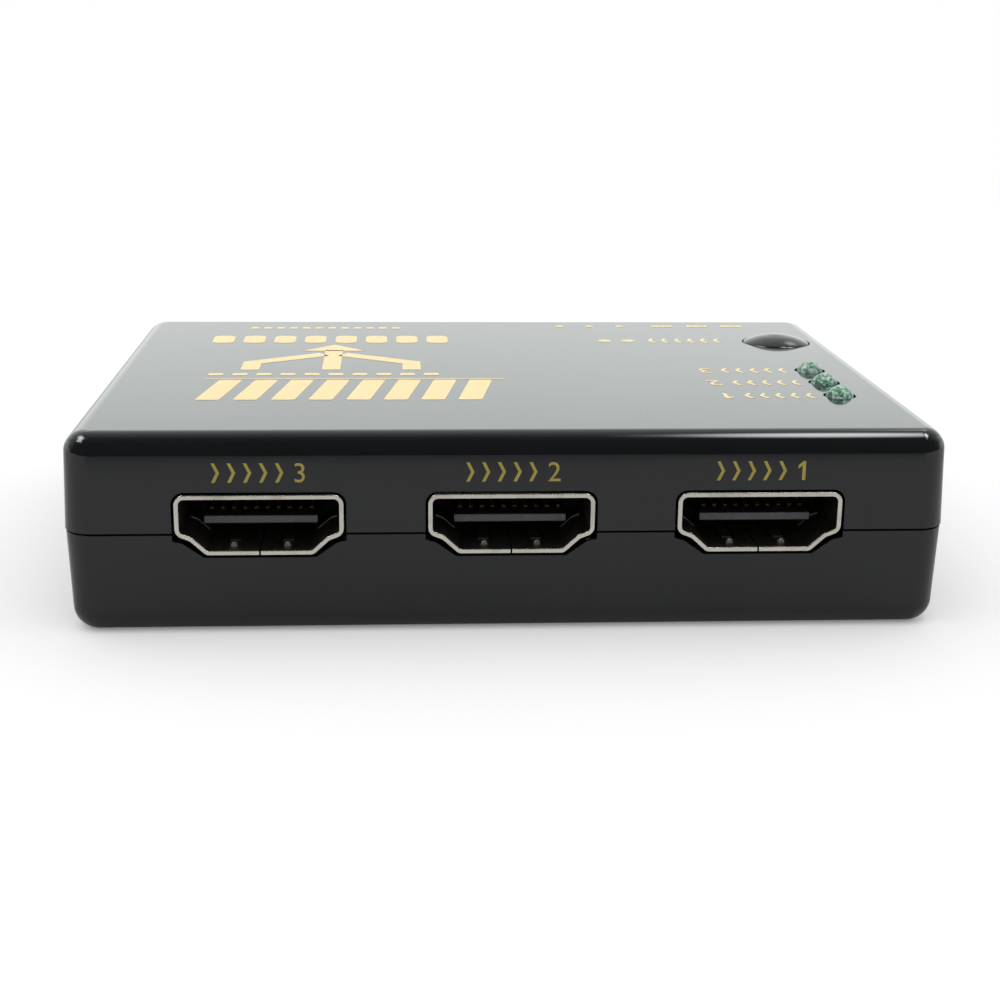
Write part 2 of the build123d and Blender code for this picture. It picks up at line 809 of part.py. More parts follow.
def controller_leads():
    """Leads on the two long sides of the controller."""
    rows = []
    for turn in (0, 180):
        rows += lead_row(
            controller_leads_per_side,
            controller_lead_pitch,
            controller_width / 2,
            controller_height,
            controller_lead_width,
            turn,
        )
    return placed(rows, controller_share)


def regulator_leads():
    """Three leads on one side of the voltage regulator and its wide tab on the other."""
    edge = regulator_width / 2
    rows = lead_row(3, regulator_lead_pitch, edge, regulator_height, regulator_lead_width, 180)
    rows += lead_row(1, regulator_lead_pitch, edge, regulator_height, regulator_tab_width, 0)
    return placed(rows, regulator_share)


def crystal_can():
    """The timing crystal's can, an upright slot shape."""
    x, y = on_board(crystal_share)
    outline = Pos(x, y, board_top) * SlotOverall(crystal_length, crystal_width)
    return extrude(outline, amount=crystal_height)


def capacitor_cans():
    """The round cans of the smoothing capacitors."""
    low = board_top + can_base_height
    return [upright(*on_board(share), can_radius, low, board_top + can_height) for share in can_shares]


def capacitor_bases():
    """The square bases under the round cans."""
    side = can_base_side
    high = board_top + can_base_height
    return [centred_block(*on_board(share), side, side, board_top, high) for share in can_shares]


def small_parts(shares, height):
    """A scatter of tiny rectangular parts."""
    return [
        centred_block(*on_board(share), small_part_length, small_part_width, board_top, board_top + height)
        for share in shares
    ]


def line_protectors():
    """Two flat protector arrays behind each video socket."""
    pieces = []
    high = board_top + protector_height
    for x, y, side in socket_places.values():
        inward = 1 if side == "front" else -1
        row_y = y + inward * (shell_depth + protector_setback)
        for offset_x in (-protector_gap, protector_gap):
            pieces.append(
                centred_block(x + offset_x, row_y, protector_length, protector_width, board_top, high)
            )
    return pieces


def save(name, shape):
    """Writes one named piece, or a group of separate solids, to parts/NAME.step."""
    pieces = shape if isinstance(shape, list) else [shape]
    solids = [solid for piece in pieces for solid in piece.solids()]
    export_step(solids[0] if len(solids) == 1 else Compound(children=solids), f"parts/{name}.step")


def main():
    """Builds and writes every piece of the switch box."""
    os.makedirs("parts", exist_ok=True)
    save("upper_shell", upper_shell())
    save("lower_shell", lower_shell())
    save("case_screws", [case_screw(x, y) for x, y in boss_places])
    save("circuit_board", circuit_board())
    shell, insert, contacts = socket_shell(), socket_insert(), socket_contacts()
    recess = Pos(0, shell_recess, 0)
    for name, place in socket_places.items():
        save(f"{name}_shell", at_socket(recess * shell, place))
        save(f"{name}_insert", at_socket(recess * insert, place))
        save(f"{name}_contacts", [at_socket(recess * contact, place) for contact in contacts])
    for number, y in enumerate(lamp_ys, start=1):
        save(f"lamp_{number}", lamp_lens(y))
    save("lamp_leads", lamp_leads())
    save("select_button", select_button())
    save("switch_base", switch_base())
    save("switch_cover", switch_cover())
    save("switch_plunger", switch_plunger())
    save("snap_disc", snap_disc())
    save("switch_leads", switch_leads())
    save("power_jack_body", power_jack_body())
    save("power_jack_pin", power_jack_pin())
    save("power_jack_tails", power_jack_tails())
    save("remote_jack_body", remote_jack_body())
    save("remote_jack_ferrule", remote_jack_ferrule())
    save("remote_jack_tails", remote_jack_tails())
    save("switch_chip", chip_body(chip_share, chip_side, chip_side, chip_height))
    save("switch_chip_leads", switch_chip_leads())
    save("controller", chip_body(controller_share, controller_length, controller_width, controller_height))
    save("controller_leads", controller_leads())
    save("regulator", chip_body(regulator_share, regulator_length, regulator_width, regulator_height))
    save("regulator_leads", regulator_leads())
    save("crystal_can", crystal_can())
    save("capacitor_cans", capacitor_cans())
    save("capacitor_bases", capacitor_bases())
    save("chip_capacitors", small_parts(capacitor_shares, small_part_height))
    save("chip_resistors", small_parts(resistor_shares, resistor_height))
    save("line_protectors", line_protectors())


main()
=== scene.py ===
"""The looks of a black video switch box: finishes, print, lamps, solder and screws, in a pale studio."""

import logging
import math
from abc import ABC, abstractmethod
from dataclasses import dataclass
from enum import Enum

import bmesh
import bpy
from mathutils import Matrix, Vector


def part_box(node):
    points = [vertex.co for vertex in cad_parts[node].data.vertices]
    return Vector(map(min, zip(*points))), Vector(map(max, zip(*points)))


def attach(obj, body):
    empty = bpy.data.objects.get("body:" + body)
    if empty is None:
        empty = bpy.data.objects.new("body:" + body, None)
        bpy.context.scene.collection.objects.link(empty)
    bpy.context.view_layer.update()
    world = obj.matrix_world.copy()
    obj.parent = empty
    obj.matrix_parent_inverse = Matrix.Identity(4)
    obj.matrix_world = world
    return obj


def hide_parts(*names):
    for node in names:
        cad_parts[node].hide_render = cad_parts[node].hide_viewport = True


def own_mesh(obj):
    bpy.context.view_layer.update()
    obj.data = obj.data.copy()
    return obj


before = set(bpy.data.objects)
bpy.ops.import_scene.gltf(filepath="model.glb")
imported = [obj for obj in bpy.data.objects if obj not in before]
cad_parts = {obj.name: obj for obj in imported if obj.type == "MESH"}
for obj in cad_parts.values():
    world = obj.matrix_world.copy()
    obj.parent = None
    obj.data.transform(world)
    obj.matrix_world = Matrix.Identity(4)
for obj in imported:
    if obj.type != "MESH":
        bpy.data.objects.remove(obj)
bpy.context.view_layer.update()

log = logging.getLogger("switch_box")
MM = 0.001
WELD_MM = 0.001
FLAT_DEG = 0.2
REGION_DEG = 0.4
SHARP_DEG = 32
FILM_WELD_MM = 0.0005
# The values that most of a noise pattern lies between.
NOISE_SPAN = (0.3, 0.7)
# A bend sharper than this share isn't mitred further out.
MITRE_LIMIT = 0.3

Tree = bpy.types.NodeTree
Socket = bpy.types.NodeSocket
Node = bpy.types.Node
Piece = bpy.types.Object
Surface = bmesh.types.BMesh
Pair = tuple[float, float]
Triple = tuple[float, float, float]


class Body(Enum):
    """The bodies that pieces ride on."""

    CASE = "case"
    BUTTON = "button"
    PLUNGER = "plunger"


class Slot(Enum):
    """The finishes that the record names."""

    CASE_PLASTIC = "case_plastic"
    SOCKET_NICKEL = "socket_nickel"
    INSERT_PLASTIC = "insert_plastic"
    CONTACT_GOLD = "contact_gold"
    LAMP_RESIN = "lamp_resin"
    TINNED_LEAD = "tinned_lead"
    BOARD_LAMINATE = "board_laminate"
    SCREW_STEEL = "screw_steel"
    PLATED_STEEL = "plated_steel"
    PLUNGER_PLASTIC = "plunger_plastic"
    CHIP_EPOXY = "chip_epoxy"
    CAN_ALUMINIUM = "can_aluminium"
    CAPACITOR_CERAMIC = "capacitor_ceramic"


def linear(code: str) -> tuple[float, float, float, float]:
    """Turns an sRGB hex colour into linear light.

    Args:
        code: The colour as #rrggbb.

    Returns:
        Red, green, blue and an alpha of 1.
    """
    channels = [int(code[i : i + 2], 16) / 255 for i in (1, 3, 5)]
    lit = [c / 12.92 if c <= 0.04045 else ((c + 0.055) / 1.055) ** 2.4 for c in channels]
    return lit[0], lit[1], lit[2], 1.0


def per_mm(size_mm: float) -> float:
    """The texture scale at which one cell of a pattern measures size_mm."""
    return 1 / (size_mm * MM)


def feed(tree: Tree, node: Node, inputs: dict | tuple) -> None:
    """Gives a node its inputs.

    Args:
        tree: The tree that the node is in.
        node: The node.
        inputs: A value for each input, in their order or by name or index. An output socket is linked to it,
            and so is another node's first output.
    """
    for key, value in inputs.items() if isinstance(inputs, dict) else enumerate(inputs):
        source = value.outputs[0] if isinstance(value, Node) else value
        if isinstance(source, Socket):
            tree.links.new(source, node.inputs[key])
        else:
            node.inputs[key].default_value = source


def add_node(tree: Tree, kind: str, inputs: dict | tuple = (), **settings: object) -> Node:
    """Adds a node with its settings and links.

    Args:
        tree: The node tree that gets it.
        kind: Blender's name for the node type.
        inputs: What feed gives it.
        **settings: The node's own properties.

    Returns:
        The new node.
    """
    made = tree.nodes.new(kind)
    for name, value in settings.items():
        setattr(made, name, value)
    feed(tree, made, inputs)
    return made


@dataclass(frozen=True)
class Finish(ABC):
    """A real material and how its surface was made."""

    name: str

    def material(self) -> bpy.types.Material:
        """Makes the material, or returns it where it is already made."""
        known = bpy.data.materials.get(self.name)
        if known is not None:
            return known
        made = bpy.data.materials.new(self.name)
        made.use_nodes = True
        tree = made.node_tree
        place = add_node(tree, "ShaderNodeTexCoord").outputs["Object"]
        feed(tree, tree.nodes["Principled BSDF"], self.paint(tree, place))
        return made

    @abstractmethod
    def paint(self, tree: Tree, place: Socket) -> dict:
        """Builds the patterns.

        Args:
            tree: The material's tree.
            place: Where a point lies on the piece.

        Returns:
            A value or a pattern for each of the shader's inputs that it sets.
        """


@dataclass(frozen=True)
class PolishedAbs(Finish):
    """Black ABS from a polished tool: near-black body, sharp mirror, faint ripple, wiping marks, dust."""

    colour: str = "#0a0b0d"
    haze: str = "#121417"
    haze_mm: float = 11.0
    speck: str = "#77797a"
    gloss: float = 0.045
    dull: float = 0.12
    dull_span: Pair = (0.3, 0.75)
    ior: float = 1.5
    ripple_mm: float = 2.4
    ripple_height_mm: float = 0.0012
    # Real wiping marks are near 0.02 mm, too fine to show, so they are drawn coarser.
    scratch_mm: float = 0.25
    scratch_turn: Triple = (0, 0, 0.5)
    scratch_stretch: Triple = (1, 0.03, 1)
    scratch_span: Pair = (0.66, 0.8)
    scratch_dulls: float = 0.05
    speck_pitch_mm: float = 3.1
    speck_share: float = 0.028
    speck_rarity: float = 0.55

    def paint(self, tree: Tree, place: Socket) -> dict:
        """Mirror gloss broken by ripple, fine scratches and a few dust specks."""
        soft = {"Vector": place, "Scale": per_mm(self.haze_mm), "Detail": 4}
        cloud = add_node(tree, "ShaderNodeTexNoise", soft)
        wiped = {"Vector": place, "Rotation": self.scratch_turn, "Scale": self.scratch_stretch}
        turned = add_node(tree, "ShaderNodeMapping", wiped)
        fine = {"Vector": turned, "Scale": per_mm(self.scratch_mm), "Detail": 2}
        hair = add_node(tree, "ShaderNodeTexNoise", fine)
        scratch = add_node(tree, "ShaderNodeMapRange", (hair, *self.scratch_span))
        grid = {"Vector": place, "Scale": per_mm(self.speck_pitch_mm), "Randomness": 1}
        cells = add_node(tree, "ShaderNodeTexVoronoi", grid)
        near = add_node(tree, "ShaderNodeMath", (cells, self.speck_share), operation="LESS_THAN")
        picked = (cells.outputs["Color"], self.speck_rarity)
        rare = add_node(tree, "ShaderNodeMath", picked, operation="GREATER_THAN")
        dust = add_node(tree, "ShaderNodeMath", (near, rare), operation="MULTIPLY")
        hazy = {0: cloud, 6: linear(self.colour), 7: linear(self.haze)}
        body = add_node(tree, "ShaderNodeMix", hazy, data_type="RGBA")
        dusty = {0: dust, 6: body.outputs[2], 7: linear(self.speck)}
        rough = add_node(tree, "ShaderNodeMapRange", (cloud, *self.dull_span, self.gloss, self.dull))
        marks = (scratch, self.scratch_dulls, rough)
        painted_nose_highlight = add_node(tree, "ShaderNodeMath", marks, operation="MULTIPLY_ADD")
        broad = {"Vector": place, "Scale": per_mm(self.ripple_mm), "Detail": 1}
        flow = add_node(tree, "ShaderNodeTexNoise", broad)
        ripple = {"Strength": 1.0, "Distance": self.ripple_height_mm * MM, "Height": flow}
        return {
            "Base Color": add_node(tree, "ShaderNodeMix", dusty, data_type="RGBA").outputs[2],
            "Roughness": add_node(tree, "ShaderNodeMath", (painted_nose_highlight, dust), operation="MAXIMUM"),
            "Normal": add_node(tree, "ShaderNodeBump", ripple),
            "IOR": self.ior,
        }


@dataclass(frozen=True)
class FilledPlastic(Finish):
    """A moulded plastic with a filler: satin, with a fine grain and pale flecks of fibre."""

    colour: str = "#101113"
    fleck: str = "#2a2c2f"
    smooth: float = 0.36
    rough: float = 0.56
    # The real grain is near 0.05 mm, too fine to show, so it is drawn coarser.
    grain_mm: float = 0.12
    grain_height_mm: float = 0.006
    grain_strength: float = 0.8
    fibre_turn: Triple = (0.3, 0.2, 0.4)
    fibre_stretch: Triple = (0.25, 1, 1)
    fibre_share: float = 0.8
    fibre_span: Pair = (0.6, 0.75)
    ior: float = 1.55

    def paint(self, tree: Tree, place: Socket) -> dict:
        """Satin body, spark-eroded grain and short fibre flecks."""
        fine = {"Vector": place, "Scale": per_mm(self.grain_mm), "Detail": 3}
        grain = add_node(tree, "ShaderNodeTexNoise", fine)
        laid = {"Vector": place, "Rotation": self.fibre_turn, "Scale": self.fibre_stretch}
        fibre = add_node(tree, "ShaderNodeMapping", laid)
        short = {"Vector": fibre, "Scale": per_mm(self.grain_mm * self.fibre_share), "Detail": 1}
        streak = add_node(tree, "ShaderNodeTexNoise", short)
        shown = add_node(tree, "ShaderNodeMapRange", (streak, *self.fibre_span))
        body = {0: shown, 6: linear(self.colour), 7: linear(self.fleck)}
        raised = {"Strength": self.grain_strength, "Distance": self.grain_height_mm * MM, "Height": grain}
        return {
            "Base Color": add_node(tree, "ShaderNodeMix", body, data_type="RGBA").outputs[2],
            "Roughness": add_node(tree, "ShaderNodeMapRange", (grain, *NOISE_SPAN, self.smooth, self.rough)),
            "Normal": add_node(tree, "ShaderNodeBump", raised),
            "IOR": self.ior,
        }


@dataclass(frozen=True)
class PlatedMetal(Finish):
    """Plated or bare metal with the grain that its rolling, drawing or dipping left, and a little tarnish."""

    colour: str = "#c9c5bb"
    tarnish: str = "#8f897c"
    smooth: float = 0.2
    rough: float = 0.36
    # Real rolling lines are near 0.02 mm, too fine to show, so they are drawn coarser.
    grain_mm: float = 0.09
    stretch: Triple = (1, 0.06, 1)
    grain_height_mm: float = 0.0015
    grain_strength: float = 0.7
    blotch_mm: float = 2.5
    blotch_span: Pair = (0.5, 0.85)

    def paint(self, tree: Tree, place: Socket) -> dict:
        """Metal whose roughness follows its grain and whose colour drifts in soft blotches."""
        drawn = add_node(tree, "ShaderNodeMapping", {"Vector": place, "Scale": self.stretch})
        fine = {"Vector": drawn, "Scale": per_mm(self.grain_mm), "Detail": 4}
        grain = add_node(tree, "ShaderNodeTexNoise", fine)
        soft = {"Vector": place, "Scale": per_mm(self.blotch_mm), "Detail": 3}
        blotch = add_node(tree, "ShaderNodeTexNoise", soft)
        dull = add_node(tree, "ShaderNodeMapRange", (blotch, *self.blotch_span))
        body = {0: dull, 6: linear(self.colour), 7: linear(self.tarnish)}
        raised = {"Strength": self.grain_strength, "Distance": self.grain_height_mm * MM, "Height": grain}
        return {
            "Base Color": add_node(tree, "ShaderNodeMix", body, data_type="RGBA").outputs[2],
            "Roughness": add_node(tree, "ShaderNodeMapRange", (grain, *NOISE_SPAN, self.smooth, self.rough)),
            "Normal": add_node(tree, "ShaderNodeBump", raised),
            "Metallic": 1.0,
        }


@dataclass(frozen=True)
class TintedResin(Finish):
    """Cast epoxy, tinted green and half clear: random cells of deep and mid green, and pale cells painted on
    as glints of the lamp's metal.
    """

    # The pale colour is the painted glints' colour.
    pale: str = "#e3f3ea"
    colour: str = "#72bd97"
    deep: str = "#24694a"
    ior: float = 1.52
    clearness: float = 0.35
    gloss: float = 0.2
    dull: float = 0.5
    facet_mm: float = 0.3
    tone_span: Pair = (0.2, 0.8)
    painted_glint_span: Pair = (0.52, 0.78)
    painted_glint_share: float = 0.9
    swirl_mm: float = 0.9
    swirl_bend: float = 0.6

    def paint(self, tree: Tree, place: Socket) -> dict:
        """Cells of deep and mid green, the palest painted pale as glints, under a smooth skin."""
        bent = {"Vector": place, "Scale": per_mm(self.swirl_mm), "Detail": 3, "Distortion": self.swirl_bend}
        swirl = add_node(tree, "ShaderNodeTexNoise", bent)
        facets = add_node(tree, "ShaderNodeTexVoronoi", {"Vector": place, "Scale": per_mm(self.facet_mm)})
        tone = add_node(tree, "ShaderNodeSeparateColor", (facets.outputs["Color"],))
        depth = add_node(tree, "ShaderNodeMapRange", (tone, *self.tone_span))
        tinted = {0: depth, 6: linear(self.deep), 7: linear(self.colour)}
        body = add_node(tree, "ShaderNodeMix", tinted, data_type="RGBA")
        # The cells highest in random green turn pale: painted glints of the lamp's metal.
        bright = (tone.outputs[1], *self.painted_glint_span, 0.0, self.painted_glint_share)
        glint = add_node(tree, "ShaderNodeMapRange", bright)
        lit = {0: glint, 6: body.outputs[2], 7: linear(self.pale)}
        return {
            "Base Color": add_node(tree, "ShaderNodeMix", lit, data_type="RGBA").outputs[2],
            "Roughness": add_node(tree, "ShaderNodeMapRange", (swirl, *NOISE_SPAN, self.gloss, self.dull)),
            "Transmission Weight": self.clearness,
            "IOR": self.ior,
        }


@dataclass(frozen=True)
class MetallicInk(Finish):
    """Screen-printed gold ink: fine metal flake in a binder, slightly uneven where it dried."""

    colour: str = "#efcf86"
    worn: str = "#dcbc74"
    smooth: float = 0.2
    rough: float = 0.32
    metal: float = 0.55
    # The real flake is near 0.02 mm, too fine to show, so it is drawn coarser.
    flake_mm: float = 0.05
    flake_height_mm: float = 0.002
    flake_strength: float = 0.5
    flake_span: Pair = (0.0, 0.6)
    patch_mm: float = 1.3

    def paint(self, tree: Tree, place: Socket) -> dict:
        """Flake glitter over soft patches of thinner ink."""
        flake = add_node(tree, "ShaderNodeTexVoronoi", {"Vector": place, "Scale": per_mm(self.flake_mm)})
        soft = {"Vector": place, "Scale": per_mm(self.patch_mm), "Detail": 3}
        patch = add_node(tree, "ShaderNodeTexNoise", soft)
        body = {0: patch, 6: linear(self.colour), 7: linear(self.worn)}
        gloss = (flake, *self.flake_span, self.smooth, self.rough)
        raised = {"Strength": self.flake_strength, "Distance": self.flake_height_mm * MM, "Height": flake}
        return {
            "Base Color": add_node(tree, "ShaderNodeMix", body, data_type="RGBA").outputs[2],
            "Roughness": add_node(tree, "ShaderNodeMapRange", gloss),
            "Normal": add_node(tree, "ShaderNodeBump", raised),
            "Metallic": self.metal,
        }


@dataclass(frozen=True)
class SolderMask(Finish):
    """Green mask over a glass laminate: the copper runs under it show as paler, raised lines."""

    colour: str = "#0f5a34"
    over_copper: str = "#2b8150"
    smooth: float = 0.28
    rough: float = 0.42
    ior: float = 1.55
    track_pitch_mm: float = 1.6
    track_width: float = 0.09
    track_edge: float = 0.3
    track_length: float = 4.3
    track_spacing: float = 0.55
    track_offset: float = 0.37
    track_height_mm: float = 0.03
    track_strength: float = 0.6
    weave_mm: float = 0.5

    def paint(self, tree: Tree, place: Socket) -> dict:
        """Raised copper runs in stepped lines and a trace of the laminate's weave."""
        layout = {
            "Vector": place,
            "Scale": per_mm(self.track_pitch_mm),
            "Mortar Size": self.track_width,
            "Mortar Smooth": self.track_edge,
            "Brick Width": self.track_length,
            "Row Height": self.track_spacing,
        }
        runs = add_node(tree, "ShaderNodeTexBrick", layout, offset=self.track_offset).outputs["Fac"]
        fine = {"Vector": place, "Scale": per_mm(self.weave_mm), "Detail": 2}
        weave = add_node(tree, "ShaderNodeTexNoise", fine)
        body = {0: runs, 6: linear(self.colour), 7: linear(self.over_copper)}
        raised = {"Strength": self.track_strength, "Distance": self.track_height_mm * MM, "Height": runs}
        return {
            "Base Color": add_node(tree, "ShaderNodeMix", body, data_type="RGBA").outputs[2],
            "Roughness": add_node(tree, "ShaderNodeMapRange", (weave, *NOISE_SPAN, self.smooth, self.rough)),
            "Normal": add_node(tree, "ShaderNodeBump", raised),
            "IOR": self.ior,
        }


class Palette:
    """The finishes of this box."""

    # The case: piano black that mirrors the room in long clean highlights, with a few specks of dust.
    case = PolishedAbs("Polished black ABS")
    # The button: the same black, dulled a little by fingers.
    button = PolishedAbs("Polished black ABS, button", gloss=0.09, dull=0.16, speck_share=0.02)
    # The sockets' rims: a thin, pale, warm line of bright metal round each dark mouth.
    nickel = PlatedMetal("Nickel-plated stamped sheet", colour="#dbd7cc", tarnish="#b3ab9a")
    # Small plated fittings: a cooler and sharper glint than the sheet's.
    bright = PlatedMetal(
        "Bright nickel", colour="#cfcdc8", tarnish="#a9a69e", smooth=0.12, rough=0.24, grain_height_mm=0.0008
    )
    # The contacts: fine warm lines deep in the sockets.
    gold = PlatedMetal(
        "Gold-flashed contact strip",
        colour="#d9b665",
        tarnish="#a98a49",
        smooth=0.18,
        rough=0.3,
        grain_mm=0.05,
    )
    # Legs and tails: soft grey metal, dipped rather than polished.
    tin = PlatedMetal(
        "Tinned copper", colour="#bdbdba", tarnish="#8d8d89", smooth=0.3, rough=0.5, stretch=(1, 1, 0.2)
    )
    # The joints under the board: small bright beads without a grain.
    solder = PlatedMetal(
        "Reflowed solder", colour="#b4b5b6", tarnish="#8b8d90", smooth=0.22, rough=0.4, stretch=(1, 1, 1)
    )
    # The screws: dark, slightly oily metal that sinks into the black base.
    zinc = PlatedMetal(
        "Black zinc on steel", colour="#4b4c50", tarnish="#2e2f33", smooth=0.3, rough=0.5, stretch=(1, 1, 0.3)
    )
    # The capacitors' cans: pale metal with a faint upright brushing.
    aluminium = PlatedMetal(
        "Drawn aluminium", colour="#b9babc", tarnish="#9b9c9f", smooth=0.28, rough=0.44, stretch=(1, 1, 0.1)
    )
    # Inserts and jacks: satin black beside the case's gloss.
    insert = FilledPlastic("Glass-filled black moulding")
    # The sockets' inner walls: the same sheet with painted shade darkening its colour, and rougher.
    painted_shade_nickel = PlatedMetal(
        "Nickel plate, painted shade",
        colour="#77736a",
        tarnish="#55524b",
        smooth=0.3,
        rough=0.5,
        grain_height_mm=0.001,
    )
    # The tongues: the darkest plastic, which lets the rims stand out.
    tongue = FilledPlastic(
        "Liquid-crystal polymer", colour="#0b0c0d", fleck="#1b1c1f", smooth=0.5, rough=0.66, ior=1.45
    )
    # The tongues' noses: a grey edge painted on as a highlight, which shows where the tongue ends in the dark
    # mouth.
    painted_nose_highlight = FilledPlastic(
        "Liquid-crystal polymer, scuffed", colour="#4a4b50", fleck="#63656b", smooth=0.45, rough=0.6
    )
    # Chips and resistors: matt, slightly grey blocks on the green board.
    epoxy = FilledPlastic(
        "Moulded chip epoxy", colour="#1a1b1d", fleck="#3a3b3d", smooth=0.5, rough=0.7, grain_mm=0.08
    )
    # The switch's plunger: waxy, even black.
    acetal = FilledPlastic(
        "Moulded acetal", colour="#18191a", fleck="#202122", smooth=0.3, rough=0.4, grain_mm=0.2
    )
    # Chip capacitors: small tan bricks.
    ceramic = FilledPlastic(
        "Fired ceramic", colour="#a4875f", fleck="#c2a67d", smooth=0.45, rough=0.6, grain_mm=0.15
    )
    # The lamps: green in cells of random depth, with painted glints in the palest.
    resin = TintedResin("Green cast epoxy")
    # The lid's print: warm gold that glitters a little against the black.
    ink = MetallicInk("Gold screen ink")
    # The front's print: a darker, more olive gold with less metal than the lid's.
    front_ink = MetallicInk(
        "Gold screen ink, front face", colour="#b5a64c", worn="#958a45", smooth=0.3, rough=0.45, metal=0.35
    )
    # The board: deep green with paler lines, seen only where the box is open.
    mask = SolderMask("Green solder mask")


def in_scene(name: str, mesh: bpy.types.Mesh) -> Piece:
    """Puts a mesh in the scene as an object at the origin."""
    made = bpy.data.objects.new(name, mesh)
    bpy.context.scene.collection.objects.link(made)
    return made


def plain_mesh(piece: Piece) -> Piece:
    """Replaces a piece's mesh and modifiers by the mesh that they make.

    Args:
        piece: A mesh, curve or text object at the origin.

    Returns:
        A mesh object of the same name, without modifiers.
    """
    graph = bpy.context.evaluated_depsgraph_get()
    shown = piece.evaluated_get(graph)
    mesh = bpy.data.meshes.new_from_object(shown, preserve_all_data_layers=True, depsgraph=graph)
    name = piece.name
    bpy.data.objects.remove(piece)
    return in_scene(name, mesh)


def hand_over(piece: Piece, body: Body = Body.CASE) -> None:
    """Lets a finished piece ride on its body and reports it."""
    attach(piece, body.value)
    log.info("%s: %d faces, rides on %s", piece.name, len(piece.data.polygons), body.value)


def welded(node: str) -> Surface:
    """A CAD node's surface with its loose triangles joined and its flat faces made whole.

    Args:
        node: The CAD node's name.

    Returns:
        The joined surface, which the caller frees.
    """
    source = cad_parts[node].data
    clean = bpy.data.meshes.new(node)
    clean.from_pydata([v.co for v in source.vertices], [], [list(p.vertices) for p in source.polygons])
    surface = bmesh.new()
    surface.from_mesh(clean)
    bpy.data.meshes.remove(clean)
    bmesh.ops.remove_doubles(surface, verts=surface.verts, dist=WELD_MM * MM)
    flat = math.radians(FLAT_DEG)
    bmesh.ops.dissolve_limit(surface, angle_limit=flat, verts=surface.verts, edges=surface.edges)
    return surface


def solids_of(node: str) -> list[tuple[Vector, Vector]]:
    """The lowest and highest corner of each separate solid of a CAD node, in metres."""
    surface = welded(node)
    left = set(surface.verts)
    found = []
    while left:
        group = [left.pop()]
        for vertex in group:
            for edge in vertex.link_edges:
                other = edge.other_vert(vertex)
                if other in left:
                    left.remove(other)
                    group.append(other)
        low = Vector(min(v.co[axis] for v in group) for axis in range(3))
        high = Vector(max(v.co[axis] for v in group) for axis in range(3))
        found.append((low, high))
    surface.free()
    return sorted(found, key=lambda corners: tuple(corners[0]))


def flat_regions(surface: Surface) -> dict[bmesh.types.BMFace, float]:
    """The area of the flat region that each face belongs to."""
    area = {}
    seen = set()
    for start in surface.faces:
        if start in seen:
            continue
        seen.add(start)
        group = [start]
        for face in group:
            for edge in face.edges:
                if edge.calc_face_angle(math.pi) > math.radians(REGION_DEG):
                    continue
                for other in edge.link_faces:
                    if other not in seen:
                        seen.add(other)
                        group.append(other)
        whole = sum(face.calc_area() for face in group)
        area.update((face, whole) for face in group)
    return area


def even_normals(mesh: bpy.types.Mesh) -> None:
    """Lets the largest flat region at each corner set its normal, so that flat walls mirror flat."""
    surface = bmesh.new()
    surface.from_mesh(mesh)
    area = flat_regions(surface)
    normals = []
    for vertex in surface.verts:
        largest = max(area[loop.face] for loop in vertex.link_loops)
        mean = Vector()
        for loop in vertex.link_loops:
            share = area[loop.face] / largest
            mean += loop.face.normal * loop.calc_angle() * share**3
        normals.append(mean.normalized())
    surface.free()
    mesh.normals_split_custom_set_from_vertices(normals)


@dataclass(frozen=True)
class Skin:
    """The outer skin of a box-shaped shell: what lies within a depth of its walls, lid or floor."""

    low: Vector
    high: Vector
    wall_mm: float
    lid_mm: float

    def holds(self, place: Vector) -> bool:
        """Whether a point lies in the skin."""
        inside = [min(place[axis] - self.low[axis], self.high[axis] - place[axis]) / MM for axis in range(3)]
        return min(inside[0], inside[1]) < self.wall_mm or inside[2] < self.lid_mm


def soft_edged(node: str, edge_mm: float, finish: Finish, skin: Skin | None = None) -> Piece:
    """A copy of a CAD node with its sharp edges rounded, as moulding, stamping or wear leaves them.

    Args:
        node: The CAD node's name.
        edge_mm: The width of the rounding.
        finish: What the piece is made of.
        skin: Where the rounding is wanted, or None for everywhere.

    Returns:
        The new piece.
    """
    surface = welded(node)
    rounded = surface.edges.layers.float.new("bevel_weight_edge")
    for edge in surface.edges:
        middle = (edge.verts[0].co + edge.verts[1].co) / 2
        if edge.calc_face_angle(0) > math.radians(SHARP_DEG) and (skin is None or skin.holds(middle)):
            edge[rounded] = 1.0
    kept = [face for face in surface.faces if not any(edge[rounded] for edge in face.edges)]
    bmesh.ops.connect_verts_concave(surface, faces=kept)
    for face in surface.faces:
        face.smooth = True
    mesh = bpy.data.meshes.new(f"{node}_dressed")
    surface.to_mesh(mesh)
    surface.free()
    piece = in_scene(f"{node}_dressed", mesh)
    rounding = piece.modifiers.new("rounding", "BEVEL")
    rounding.width = edge_mm * MM
    rounding.segments = 2
    rounding.limit_method = "WEIGHT"
    rounding.use_clamp_overlap = False
    piece = plain_mesh(piece)
    even_normals(piece.data)
    piece.data.materials.clear()
    piece.data.materials.append(finish.material())
    return piece


def dress(
    node: str, finish: Finish, edge_mm: float, body: Body = Body.CASE, skin: Skin | None = None
) -> None:
    """Shows a soft-edged copy in place of a CAD node."""
    piece = soft_edged(node, edge_mm, finish, skin)
    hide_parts(node)
    hand_over(piece, body)


def coat(node: str, finish: Finish) -> None:
    """Gives a CAD node that stays as it is its finish."""
    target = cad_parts[node]
    target.data.materials.clear()
    target.data.materials.append(finish.material())
    log.info("%s: coated with %s", node, finish.name)


